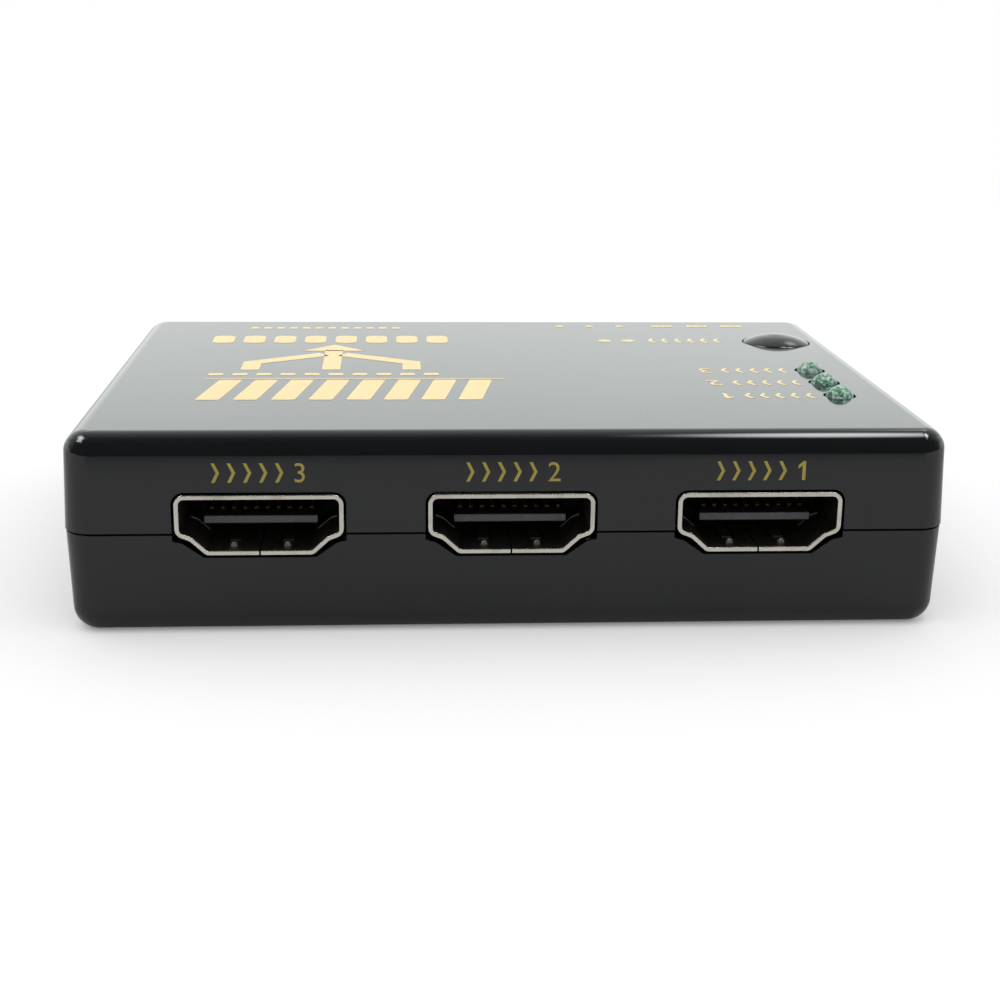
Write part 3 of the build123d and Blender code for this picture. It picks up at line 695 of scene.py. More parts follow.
def turned(profile: list[Pair], steps: int) -> Surface:
    """A solid of revolution round Z.

    Args:
        profile: Radius and height pairs in millimetres, from the axis up the outside and back to the axis.
        steps: The facets round it.

    Returns:
        The closed surface, which the caller frees.
    """
    surface = bmesh.new()
    line = [surface.verts.new((radius * MM, 0, height * MM)) for radius, height in profile]
    geom = line + [surface.edges.new(pair) for pair in zip(line, line[1:])]
    bmesh.ops.spin(
        surface, geom=geom, axis=(0, 0, 1), cent=(0, 0, 0), angle=math.tau, steps=steps, use_merge=True
    )
    bmesh.ops.remove_doubles(surface, verts=surface.verts, dist=WELD_MM * MM)
    bmesh.ops.recalc_face_normals(surface, faces=surface.faces)
    return surface


def arc(radius: float, centre: Pair, start: float, end: float, steps: int) -> list[Pair]:
    """Points along an arc in the radius and height plane, in millimetres, with angles in degrees."""
    angles = [math.radians(start + (end - start) * n / steps) for n in range(steps + 1)]
    return [(centre[0] + radius * math.cos(a), centre[1] + radius * math.sin(a)) for a in angles]


def from_surface(name: str, surface: Surface, finish: Finish, sharp_deg: float = 35) -> Piece:
    """Turns a built surface into a piece, smooth except at its sharp edges."""
    for face in surface.faces:
        face.smooth = True
    for edge in surface.edges:
        edge.smooth = edge.calc_face_angle(0) < math.radians(sharp_deg)
    mesh = bpy.data.meshes.new(name)
    surface.to_mesh(mesh)
    surface.free()
    mesh.materials.append(finish.material())
    return in_scene(name, mesh)


def new_tree(name: str, **inputs: str) -> tuple[Tree, Node]:
    """Starts a geometry tree.

    Args:
        name: The tree's name.
        **inputs: Each further input's socket type, without its first words.

    Returns:
        The tree and its input node.
    """
    tree = bpy.data.node_groups.new(name, "GeometryNodeTree")
    for label, kind in {"Geometry": "Geometry", **inputs}.items():
        tree.interface.new_socket(name=label, in_out="INPUT", socket_type=f"NodeSocket{kind}")
    tree.interface.new_socket(name="Geometry", in_out="OUTPUT", socket_type="NodeSocketGeometry")
    return tree, add_node(tree, "NodeGroupInput")


def repeat_out(tree: Tree, given: Node, shape: Node, scale: Triple | Node = (1, 1, 1)) -> None:
    """Ends a tree that repeats a shape.

    Args:
        tree: The geometry tree, with an input for the metal.
        given: Its input node, whose points get the copies.
        shape: What each point gets.
        scale: How the copies are stretched.
    """
    placed = {"Points": given.outputs[0], "Instance": shape, "Scale": scale}
    copies = add_node(tree, "GeometryNodeInstanceOnPoints", placed)
    real = add_node(tree, "GeometryNodeRealizeInstances", {"Geometry": copies})
    soft = add_node(tree, "GeometryNodeSetShadeSmooth", {"Geometry": real})
    metal = given.outputs["Metal"]
    coated = add_node(tree, "GeometryNodeSetMaterial", {"Geometry": soft, "Material": metal})
    add_node(tree, "NodeGroupOutput", {"Geometry": coated})


def grown(name: str, tree: Tree, values: dict[str, object], seeds: list[Vector] | None = None) -> Piece:
    """Runs a geometry tree and keeps its result as a plain mesh.

    Args:
        name: The piece's name.
        tree: The geometry tree.
        values: A value for each named input.
        seeds: The points that the tree works on, if it needs any.

    Returns:
        The piece.
    """
    mesh = bpy.data.meshes.new(name)
    mesh.from_pydata(seeds or [], [], [])
    carrier = in_scene(name, mesh)
    shape = carrier.modifiers.new("shape", "NODES")
    shape.node_group = tree
    for item in tree.interface.items_tree:
        if item.in_out == "INPUT" and item.name in values:
            shape[item.identifier] = values[item.name]
    return plain_mesh(carrier)


@dataclass
class CaseShells:
    """The two moulded halves of the case."""

    edge_mm: float = 0.05
    skin_mm: float = 1.0
    lid_skin_mm: float = 0.25

    def build(self) -> None:
        """Dresses both halves in the same polished plastic, their outer edges slightly rounded."""
        low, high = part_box("lower_shell")
        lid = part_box("upper_shell")[1].z
        skin = Skin(low, Vector((high.x, high.y, lid)), self.skin_mm, self.lid_skin_mm)
        for node in ("upper_shell", "lower_shell"):
            dress(node, Palette.case, self.edge_mm, skin=skin)


@dataclass(frozen=True)
class PrintFace:
    """A flat face that takes print: maps its own millimetres, x along the line and y up it, to the frame."""

    matrix: Matrix
    ink: MetallicInk

    @staticmethod
    def lid() -> "PrintFace":
        """The lid, whose print reads from the back of the box."""
        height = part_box("upper_shell")[1].z
        return PrintFace(Matrix.Translation((0, 0, height)) @ Matrix.Rotation(math.pi, 4, "Z"), Palette.ink)

    @staticmethod
    def front(draft_deg: float, rim_mm: float) -> "PrintFace":
        """The upper shell's front face, which leans back by its draft from its lower rim."""
        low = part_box("upper_shell")[0]
        lean = Matrix.Rotation(math.radians(90 - draft_deg), 4, "X")
        return PrintFace(Matrix.Translation((0, low.y, rim_mm * MM)) @ lean, Palette.front_ink)


@dataclass(frozen=True)
class BarRow:
    """A row of printed bars, in the face's millimetres.

    Attributes:
        name: The piece's name.
        start: The middle of the first bar.
        count: How many there are.
        pitch: From one to the next.
        size: One bar's width and height.
        corner: The radius of its corners.
        lean: How far it leans per millimetre of height.
        point: How far a chevron's ends fall back per millimetre from its middle.
    """

    name: str
    start: Pair
    count: int
    pitch: float
    size: Pair
    corner: float = 0.0
    lean: float = 0.0
    point: float = 0.0


@dataclass(frozen=True)
class Diagram:
    """Three lines that run together into one arrow towards the back, in the face's millimetres.

    Attributes:
        trunk: Where the middle line runs.
        branch: How far to each side of it the outer lines start.
        joint: The share of that distance that is left where they meet it.
        top: Where all three lines start.
        bend: Where the outer lines bend inwards.
        meeting: Where the outer lines end.
        foot: Where the middle line ends.
        stroke: The lines' width.
        head_level: Where the arrow's head starts.
        head_half: Half of the head's width.
        tip: Where the head ends.
    """

    trunk: float = 17.0
    branch: float = 8.4
    joint: float = 0.12
    top: float = 1.2
    bend: float = -2.6
    meeting: float = -7.2
    foot: float = -9.6
    stroke: float = 1.9
    head_level: float = -9.2
    head_half: float = 3.4
    tip: float = -12.9

    def outlines(self) -> dict[str, list[Pair]]:
        """The outline of each line and of the head, by the name of its piece."""
        found = {}
        for name, side in (("panel_line_left", -self.branch), ("panel_line_right", self.branch)):
            start, end = self.trunk + side, self.trunk + side * self.joint
            found[name] = ribbon([(start, self.top), (start, self.bend), (end, self.meeting)], self.stroke)
        found["panel_line_middle"] = ribbon([(self.trunk, self.top), (self.trunk, self.foot)], self.stroke)
        ends = [(self.trunk + side, self.head_level) for side in (self.head_half, -self.head_half)]
        found["panel_arrow"] = [(self.trunk, self.tip), *ends]
        return found


def ribbon(path: list[Pair], width: float) -> list[Pair]:
    """The outline of a line of even width along a path, mitred at its bends."""
    points = [Vector(p) for p in path]
    left, right = [], []
    for i, point in enumerate(points):
        before = (point - points[i - 1]).normalized() if i else (points[1] - point).normalized()
        after = (points[i + 1] - point).normalized() if i + 1 < len(points) else before
        along = (before + after).normalized()
        normal = Vector((-along.y, along.x))
        reach = width / 2 / max(along.dot(after), MITRE_LIMIT)
        left.append(tuple(point + normal * reach))
        right.append(tuple(point - normal * reach))
    return right + left[::-1]


def middle_mm(node: str) -> Pair:
    """The middle of a CAD node's box, seen from above, in millimetres."""
    low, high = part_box(node)
    return (low.x + high.x) / 2 / MM, (low.y + high.y) / 2 / MM


@dataclass
class CasePrint:
    """Gold screen print: plain numerals, chevrons, bars and a three-into-one diagram.

    Attributes:
        ink_mm: The ink's thickness.
        sharp_deg: The turn from which a film's edges stay sharp.
        draft_deg: How far the upper shell's front leans back.
        seam_mm: The upper shell's lower rim.
        front_size: A front label's width and height.
        front_level_mm: The height of the front labels' middle.
        lid_size: A lamp label's width and height.
        lid_gap_mm: From a lamp's middle to its label.
        stroke_mm: The width of a front label's lines.
        chevrons: How many chevrons a label has.
        lead: The first chevron's place, in pitches from the label's end.
        spare: The room before the numeral, in pitches.
        bend: How far a chevron bends, in pitches.
        numeral_width: A numeral's width for each millimetre of its height.
        one: A plain 1's corners: across by its height, strokes to the left of that, up by its height.
        front_rows: The lid's rows of bars between its front and the diagram.
        rear_rows: The lid's other rows.
    """

    ink_mm: float = 0.02
    sharp_deg: float = 10
    draft_deg: float = 1.9
    seam_mm: float = 9.53
    front_size: Pair = (8.6, 1.75)
    front_level_mm: float = 15.05
    lid_size: Pair = (9.6, 2.3)
    lid_gap_mm: float = 2.4
    stroke_mm: float = 0.3
    chevrons: int = 5
    lead: float = 0.55
    spare: float = 0.35
    bend: float = 0.62
    numeral_width: float = 0.62
    one: tuple[Triple, ...] = (
        (0.42, 1.0, 0.0),
        (0.42, 0.0, 0.0),
        (0.42, 0.0, 1.0),
        (0.42, 0.8, 1.0),
        (0.04, 0.0, 0.78),
        (0.04, 0.0, 0.6),
        (0.42, 1.0, 0.76),
    )
    front_rows: tuple[BarRow, ...] = (
        BarRow("panel_block", start=(2.4, 11.05), count=8, pitch=3.6, size=(2.3, 9.3), corner=0.3, lean=0.16),
        BarRow("panel_rule", start=(14.4, 5.9), count=1, pitch=1.0, size=(30.4, 0.34)),
        BarRow("panel_dashes", start=(6.6, 3.5), count=10, pitch=2.45, size=(1.5, 1.1), corner=0.2),
    )
    rear_rows: tuple[BarRow, ...] = (
        BarRow("panel_blocks", start=(5.5, -16.2), count=8, pitch=3.45, size=(2.4, 4.4), corner=0.8),
        BarRow("panel_foot", start=(10.2, -23.6), count=12, pitch=1.5, size=(0.9, 1.1), corner=0.2),
        BarRow("button_chevrons", start=(-26.4, -15.4), count=6, pitch=1.5, size=(0.42, 2.5), point=0.35),
        BarRow("button_dots", start=(-16.4, -15.4), count=2, pitch=2.7, size=(1.5, 1.5), corner=0.75),
        BarRow("rear_marks", start=(-30.2, -24.9), count=3, pitch=4.2, size=(2.6, 0.9), corner=0.2),
        BarRow("rear_dots", start=(-16.6, -24.9), count=3, pitch=3.6, size=(1.0, 1.0), corner=0.5),
    )

    def build(self) -> None:
        """Prints the front labels, the lamp labels and the lid's panel."""
        front = PrintFace.front(self.draft_deg, self.seam_mm)
        level = self.front_level_mm - self.seam_mm
        for digit in "321":
            middle = middle_mm(f"input_{digit}_shell")[0]
            self.label(digit, f"front_label_{digit}", front, (middle, level), self.front_size)
        lid = PrintFace.lid()
        for digit in "123":
            across, along = (-place for place in middle_mm(f"lamp_{digit}"))
            centre = (across + self.lid_gap_mm + self.lid_size[0] / 2, along)
            self.label(digit, f"lamp_label_{digit}", lid, centre, self.lid_size)
        for row in self.front_rows:
            self.bars(lid, row)
        for name, outline in Diagram().outlines().items():
            self.outline(name, lid, outline)
        for row in self.rear_rows:
            self.bars(lid, row)

    def label(self, digit: str, name: str, face: PrintFace, centre: Pair, size: Pair) -> None:
        """Prints a run of chevrons that ends in a numeral.

        Args:
            digit: The numeral.
            name: What its pieces' names start with.
            face: The face that takes it.
            centre: The label's middle, in the face's millimetres.
            size: Its width and height.
        """
        width, height = size
        pitch = (width - height * self.numeral_width) / (self.chevrons + self.spare)
        start = (centre[0] - width / 2 + pitch * self.lead, centre[1])
        bar = (self.stroke(height), height)
        point = self.bend * pitch / height
        self.bars(face, BarRow(f"{name}_chevrons", start, self.chevrons, pitch, bar, point=point))
        corner = (centre[0] + width / 2 - height * self.numeral_width, centre[1] - height / 2)
        self.numeral(digit, f"{name}_numeral", face, corner, height)

    def stroke(self, height: float) -> float:
        """The width of the lines in a label of this height."""
        return self.stroke_mm * height / self.front_size[1]

    def numeral(self, digit: str, name: str, face: PrintFace, place: Pair, height: float) -> None:
        """Prints one plain numeral, its lower left corner at place."""
        if digit == "1":
            x, y = place
            stroke = self.stroke(height)
            corners = [(x + height * far - stroke * left, y + height * up) for far, left, up in self.one]
            self.outline(name, face, corners)
            return
        letters = bpy.data.curves.new(name, "FONT")
        letters.body = digit
        letters.resolution_u = 6
        piece = plain_mesh(in_scene(name, letters))
        low = [min(v.co[axis] for v in piece.data.vertices) for axis in range(2)]
        tall = max(v.co.y for v in piece.data.vertices) - low[1]
        scale = height * MM / tall
        piece.data.transform(Matrix.Scale(scale, 4) @ Matrix.Translation((-low[0], -low[1], 0)))
        surface = bmesh.new()
        surface.from_mesh(piece.data)
        bpy.data.objects.remove(piece)
        bmesh.ops.remove_doubles(surface, verts=surface.verts, dist=FILM_WELD_MM * MM)
        self.film(name, face, surface, place)

    def outline(self, name: str, face: PrintFace, corners: list[Pair]) -> None:
        """Prints one closed outline, whose corners run anticlockwise."""
        surface = bmesh.new()
        surface.faces.new([surface.verts.new((x * MM, y * MM, 0)) for x, y in corners])
        self.film(name, face, surface, (0, 0))

    def film(self, name: str, face: PrintFace, surface: Surface, start: Pair) -> None:
        """Gives a flat surface the ink's thickness and lays it on the face."""
        raised = bmesh.ops.extrude_face_region(surface, geom=surface.faces[:], use_keep_orig=True)
        lifted = [item for item in raised["geom"] if isinstance(item, bmesh.types.BMVert)]
        bmesh.ops.translate(surface, verts=lifted, vec=(0, 0, self.ink_mm * MM))
        bmesh.ops.recalc_face_normals(surface, faces=surface.faces)
        self.settle(from_surface(name, surface, face.ink, self.sharp_deg), face, start)

    def settle(self, piece: Piece, face: PrintFace, start: Pair) -> None:
        """Moves a printed piece's mesh to its place on the face and hands it over."""
        piece.data.transform(face.matrix @ Matrix.Translation((start[0] * MM, start[1] * MM, 0)))
        hand_over(piece)

    def bars(self, face: PrintFace, row: BarRow) -> None:
        """Prints a row of bars on a face."""
        tree = bpy.data.node_groups.get("printed bars") or self.bars_tree()
        values = {
            "Count": row.count,
            "Pitch": row.pitch * MM,
            "Width": row.size[0] * MM,
            "Height": row.size[1] * MM,
            "Corner": row.corner * MM,
            "Lean": row.lean,
            "Point": row.point,
            "Thickness": self.ink_mm * MM,
            "Ink": face.ink.material(),
        }
        self.settle(grown(row.name, tree, values), face, row.start)

    def bars_tree(self) -> Tree:
        """The geometry tree for a row of bars, which lean, or bend into chevrons about their middle."""
        sizes = dict.fromkeys(("Pitch", "Width", "Height", "Corner", "Lean", "Point", "Thickness"), "Float")
        tree, given = new_tree("printed bars", Count="Int", **sizes, Ink="Material")
        value = given.outputs
        flat = {"Width": value["Width"], "Height": value["Height"]}
        bar = add_node(tree, "GeometryNodeCurvePrimitiveQuadrilateral", flat)
        rounding = {"Curve": bar, "Count": 4, "Radius": value["Corner"], "Limit Radius": True}
        soft = add_node(tree, "GeometryNodeFilletCurve", rounding, mode="POLY")
        fine = add_node(tree, "GeometryNodeSubdivideCurve", {"Curve": soft, "Cuts": 5})
        place = add_node(tree, "GeometryNodeInputPosition")
        up = add_node(tree, "ShaderNodeSeparateXYZ", (place,)).outputs[1]
        lean = add_node(tree, "ShaderNodeMath", (up, value["Lean"]), operation="MULTIPLY")
        away = add_node(tree, "ShaderNodeMath", (up,), operation="ABSOLUTE")
        bend = add_node(tree, "ShaderNodeMath", (away, value["Point"]), operation="MULTIPLY")
        aside = add_node(tree, "ShaderNodeMath", (lean, bend), operation="SUBTRACT")
        shift = add_node(tree, "ShaderNodeCombineXYZ", (aside,))
        shaped = add_node(tree, "GeometryNodeSetPosition", {"Geometry": fine, "Offset": shift})
        face = add_node(tree, "GeometryNodeFillCurve", {"Curve": shaped}, mode="NGONS")
        step = add_node(tree, "ShaderNodeCombineXYZ", (value["Pitch"],))
        row = add_node(tree, "GeometryNodeMeshLine", {"Count": value["Count"], "Offset": step}, mode="OFFSET")
        copies = add_node(tree, "GeometryNodeInstanceOnPoints", {"Points": row, "Instance": face})
        real = add_node(tree, "GeometryNodeRealizeInstances", {"Geometry": copies})
        raised = {"Mesh": real, "Offset Scale": value["Thickness"], "Individual": False}
        film = add_node(tree, "GeometryNodeExtrudeMesh", raised)
        underside = add_node(tree, "GeometryNodeFlipFaces", {"Mesh": real})
        both = add_node(tree, "GeometryNodeJoinGeometry", {"Geometry": film})
        feed(tree, both, {"Geometry": underside})
        joined = {"Geometry": both, "Distance": FILM_WELD_MM * MM}
        weld = add_node(tree, "GeometryNodeMergeByDistance", joined)
        inked = add_node(tree, "GeometryNodeSetMaterial", {"Geometry": weld, "Material": value["Ink"]})
        add_node(tree, "NodeGroupOutput", {"Geometry": inked})
        return tree


@dataclass(frozen=True)
class TwoToned:
    """A part of each socket whose foremost faces are coloured unlike the rest: painted shade on a shell's
    walls behind its rim, a painted highlight on an insert's nose.

    Attributes:
        part: The end of its CAD node's name.
        slot: What the record calls its material; not used.
        finishes: Its two finishes.
        front: Which of the two its foremost faces have, 0 or 1.
        front_mm: How far back these faces go.
        edge_mm: The width of its rounding.
    """

    part: str
    slot: Slot
    finishes: tuple[Finish, Finish]
    front: int
    front_mm: float
    edge_mm: float

    def build(self, name: str, outward: int) -> None:
        """Dresses the part of the named socket, which faces outward along Y."""
        node = f"{name}_{self.part}"
        piece = soft_edged(node, self.edge_mm, self.finishes[0])
        piece.data.materials.append(self.finishes[1].material())
        low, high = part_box(node)
        foremost = high.y if outward > 0 else low.y
        # Faces near the front get one finish and the rest the other: painted shade behind a shell's rim, a
        # painted highlight on an insert's nose.
        for face in piece.data.polygons:
            behind = (foremost - face.center.y) * outward
            face.material_index = self.front if behind < self.front_mm * MM else 1 - self.front
        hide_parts(node)
        hand_over(piece)


@dataclass
class VideoSockets:
    """The four video sockets: stamped shells, moulded inserts and contact strips."""

    # A bright rim at the mouth; behind it, rougher walls with painted shade in their colour.
    shell: TwoToned = TwoToned(
        part="shell",
        slot=Slot.SOCKET_NICKEL,
        finishes=(Palette.nickel, Palette.painted_shade_nickel),
        front=0,
        front_mm=0.16,
        edge_mm=0.07,
    )
    # Dark moulding with a painted highlight on the tongue's nose.
    insert: TwoToned = TwoToned(
        part="insert",
        slot=Slot.INSERT_PLASTIC,
        finishes=(Palette.tongue, Palette.painted_nose_highlight),
        front=1,
        front_mm=0.12,
        edge_mm=0.06,
    )
    outline_height_mm: float = 5.55
    sheet_mm: float = 0.42
    dimple_radius_mm: float = 0.42
    dimple_height_mm: float = 0.52
    dimple_setback_mm: float = 1.5
    finger_spacing_mm: float = 4.8
    stop_setback_mm: float = 5.7
    stop_radius_mm: float = 0.1
    stop_sides: int = 12
    stop_line_mm: tuple[Pair, ...] = ((6.7, -0.79), (6.05, -1.04), (4.95, -2.04))

    def build(self) -> None:
        """Dresses each socket, then presses its floor dimples and lays its shoulder stops."""
        seeds = []
        for name in ("input_3", "input_2", "input_1", "output"):
            for part in (self.shell, self.insert):
                part.build(name, self.outward(name))
            self.stops(name)
            coat(f"{name}_contacts", Palette.gold)
            seeds += self.dimple_places(name)
        values = {
            "Radius": self.dimple_radius_mm * MM,
            "Height": self.dimple_height_mm * MM,
            "Metal": Palette.nickel.material(),
        }
        piece = grown("floor_dimples", self.dimple_tree(), values, seeds)
        hand_over(piece)

    def outward(self, name: str) -> int:
        """The way a socket faces along Y."""
        return 1 if name == "output" else -1

    def mouth(self, name: str) -> Vector:
        """The middle of a socket's mouth, at the height of its outline's middle."""
        low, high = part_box(f"{name}_shell")
        level = high.z - self.outline_height_mm / 2 * MM
        return Vector(((low.x + high.x) / 2, high.y if self.outward(name) > 0 else low.y, level))

    def stops(self, name: str) -> None:
        """Presses the two slanting ribs across the shell's shoulders that stop a plug."""
        mouth = self.mouth(name)
        surface = bmesh.new()
        depth = mouth.y - self.outward(name) * self.stop_setback_mm * MM
        rib = self.stop_radius_mm * MM
        size = {"segments": self.stop_sides, "radius1": rib, "radius2": rib}
        for side in (-1, 1):
            bends = [Vector((mouth.x + side * x * MM, depth, mouth.z + z * MM)) for x, z in self.stop_line_mm]
            for start, end in zip(bends, bends[1:]):
                along = end - start
                turn = along.to_track_quat("Z", "Y").to_matrix().to_4x4()
                place = Matrix.Translation((start + end) / 2) @ turn
                bmesh.ops.create_cone(surface, cap_ends=True, depth=along.length, matrix=place, **size)
        piece = from_surface(f"{name}_stops", surface, Palette.nickel)
        hand_over(piece)

    def dimple_places(self, name: str) -> list[Vector]:
        """The middles of the two dimples on one socket's floor."""
        mouth = self.mouth(name)
        floor = mouth.z - (self.outline_height_mm / 2 - self.sheet_mm) * MM
        depth = mouth.y - self.outward(name) * self.dimple_setback_mm * MM
        half = self.finger_spacing_mm / 2 * MM
        return [Vector((mouth.x + side, depth, floor)) for side in (-half, half)]

    def dimple_tree(self) -> Tree:
        """The geometry tree that raises a rounded bump at each point."""
        tree, given = new_tree("floor dimples", Radius="Float", Height="Float", Metal="Material")
        radius = given.outputs["Radius"]
        dome = add_node(tree, "GeometryNodeMeshUVSphere", {"Segments": 20, "Rings": 10, "Radius": radius})
        flat = add_node(tree, "ShaderNodeMath", (given.outputs["Height"], radius), operation="DIVIDE")
        repeat_out(tree, given, dome, add_node(tree, "ShaderNodeCombineXYZ", (1.0, 1.0, flat)))
        return tree


def square_bar(surface: Surface, path: list[Pair], width_mm: float) -> None:
    """Adds a square bar that runs along a path.

    Args:
        surface: The surface that gets it.
        path: The place along Y and the height of its ends and bends, in millimetres, from the foot up.
        width_mm: The bar's width.
    """
    side = width_mm / 2
    rings = []
    for y, z in path:
        ring = [(-side, y - side), (side, y - side), (side, y + side), (-side, y + side)]
        rings.append([surface.verts.new((x * MM, along * MM, z * MM)) for x, along in ring])
    for lower, upper in zip(rings, rings[1:]):
        for i in range(4):
            surface.faces.new((lower[i - 1], lower[i], upper[i], upper[i - 1]))
    surface.faces.new(rings[0][::-1])
    surface.faces.new(rings[-1])


@dataclass
class Lamps:
    """Three round lamps: tinted lenses over a two-part lead frame, a chip and its bond wire.

    Attributes:
        post_foot_mm: The posts' feet over the lens's base.
        post_straight_mm: The straight length over each foot.
        post_heads_mm: Where each post's head is along Y, and how far over the cup's rim.
        wire_line_mm: The wire's bends, along Y and over the cup's rim.
    """

    radius_mm: float = 1.42
    tip_drop_mm: float = 0.14
    flange_radius_mm: float = 1.85
    flange_height_mm: float = 1.0
    flange_flat_mm: float = 0.3
    lens_steps: int = 48
    dome_steps: int = 12
    lead_spacing_mm: float = 2.54
    post_mm: float = 0.5
    post_foot_mm: float = 0.02
    post_straight_mm: float = 0.4
    post_heads_mm: tuple[Pair, Pair] = ((-0.1, -0.6), (0.85, 0.1))
    cup_drop_mm: float = 1.75
    cup_radius_mm: float = 0.62
    cup_foot_radius_mm: float = 0.42
    cup_height_mm: float = 1.1
    bowl_radius_mm: float = 0.5
    bowl_floor_radius_mm: float = 0.3
    bowl_depth_mm: float = 0.3
    cup_steps: int = 24
    wire_mm: float = 0.05
    wire_line_mm: tuple[Pair, ...] = ((0.0, -0.28), (0.4, 0.35), (0.8, 0.1))

    def build(self) -> None:
        """Builds each lamp from its own CAD box."""
        for number in (1, 2, 3):
            low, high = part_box(f"lamp_{number}")
            middle = Vector(((low.x + high.x) / 2, low.y + self.flange_radius_mm * MM, 0))
            base, tip = low.z / MM, high.z / MM
            self.lens(number, base, tip - self.tip_drop_mm, middle)
            self.frame_inside(number, base, tip - self.cup_drop_mm, middle)
            self.wire(number, tip - self.cup_drop_mm, middle)
        coat("lamp_leads", Palette.tin)

    def lens(self, number: int, base: float, tip: float, middle: Vector) -> None:
        """Turns one lens and cuts its flange's flat."""
        flange = base + self.flange_height_mm
        rim = self.flange_radius_mm
        profile = [(0, base), (rim, base), (rim, flange), (self.radius_mm, flange)]
        profile += arc(self.radius_mm, (0, tip - self.radius_mm), 0, 90, self.dome_steps)
        surface = turned(profile, self.lens_steps)
        bmesh.ops.bisect_plane(
            surface,
            geom=surface.verts[:] + surface.edges[:] + surface.faces[:],
            plane_co=(0, (rim - self.flange_flat_mm) * MM, 0),
            plane_no=(0, 1, 0),
            clear_outer=True,
        )
        bmesh.ops.holes_fill(surface, edges=[e for e in surface.edges if e.is_boundary])
        bmesh.ops.recalc_face_normals(surface, faces=surface.faces)
        piece = from_surface(f"lamp_{number}_lens", surface, Palette.resin)
        piece.data.transform(Matrix.Translation(middle))
        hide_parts(f"lamp_{number}")
        hand_over(piece)

    def frame_inside(self, number: int, base: float, rim: float, middle: Vector) -> None:
        """Builds the cup that holds the chip, its rim at the given height, and the two posts."""
        foot, floor = rim - self.cup_height_mm, rim - self.bowl_depth_mm
        outside = [(0, foot), (self.cup_foot_radius_mm, foot), (self.cup_radius_mm, rim)]
        inside = [(self.bowl_radius_mm, rim), (self.bowl_floor_radius_mm, floor), (0, floor)]
        surface = turned(outside + inside, self.cup_steps)
        half = self.lead_spacing_mm / 2
        bottom = base + self.post_foot_mm
        for side, (head, over) in zip((-half, half), self.post_heads_mm):
            path = [(side, bottom), (side, bottom + self.post_straight_mm), (head, rim + over)]
            square_bar(surface, path, self.post_mm)
        bmesh.ops.recalc_face_normals(surface, faces=surface.faces)
        piece = from_surface(f"lamp_{number}_frame", surface, Palette.bright)
        piece.data.transform(Matrix.Translation(middle))
        hand_over(piece)

    def wire(self, number: int, rim: float, middle: Vector) -> None:
        """Bends the bond wire from the cup to the other post."""
        curve = bpy.data.curves.new(f"lamp_{number}_wire", "CURVE")
        curve.dimensions = "3D"
        curve.bevel_depth = self.wire_mm / 2 * MM
        curve.bevel_resolution = 2
        curve.use_fill_caps = True
        line = curve.splines.new("BEZIER")
        line.bezier_points.add(len(self.wire_line_mm) - 1)
        for point, (along, over) in zip(line.bezier_points, self.wire_line_mm):
            point.co = middle + Vector((0, along, rim + over)) * MM
            point.handle_left_type = "AUTO"
            point.handle_right_type = "AUTO"
        curve.materials.append(Palette.gold.material())
        hand_over(plain_mesh(in_scene(f"lamp_{number}_wire", curve)))


@dataclass
class SelectButton:
    """The domed button and the push switch under it."""

    edge_mm: float = 0.16
    switch_edge_mm: float = 0.08
    sheet_edge_mm: float = 0.04
    disc_foot: Triple = (0.0334, 0.0146, 0.008625)
    disc_keep: float = 0.36

    def build(self) -> None:
        """Dresses the button, the switch and its plunger, and coats the snap disc on a mesh of its own."""
        dress("select_button", Palette.button, self.edge_mm, Body.BUTTON)
        dress("switch_plunger", Palette.acetal, self.switch_edge_mm, Body.PLUNGER)
        dress("switch_base", Palette.insert, self.switch_edge_mm)
        dress("switch_cover", Palette.bright, self.sheet_edge_mm)
        coat("snap_disc", Palette.bright)
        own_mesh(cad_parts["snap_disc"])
        coat("switch_leads", Palette.tin)


@dataclass
class RoundJacks:
    """The supply jack and the receiver jack at the back."""

    edge_mm: float = 0.12
    ferrule_edge_mm: float = 0.08
    pin_edge_mm: float = 0.05

    def build(self) -> None:
        """Dresses both jacks."""
        for jack in ("power_jack", "remote_jack"):
            dress(f"{jack}_body", Palette.insert, self.edge_mm)
            coat(f"{jack}_tails", Palette.tin)
        dress("remote_jack_ferrule", Palette.bright, self.ferrule_edge_mm)
        dress("power_jack_pin", Palette.bright, self.pin_edge_mm)


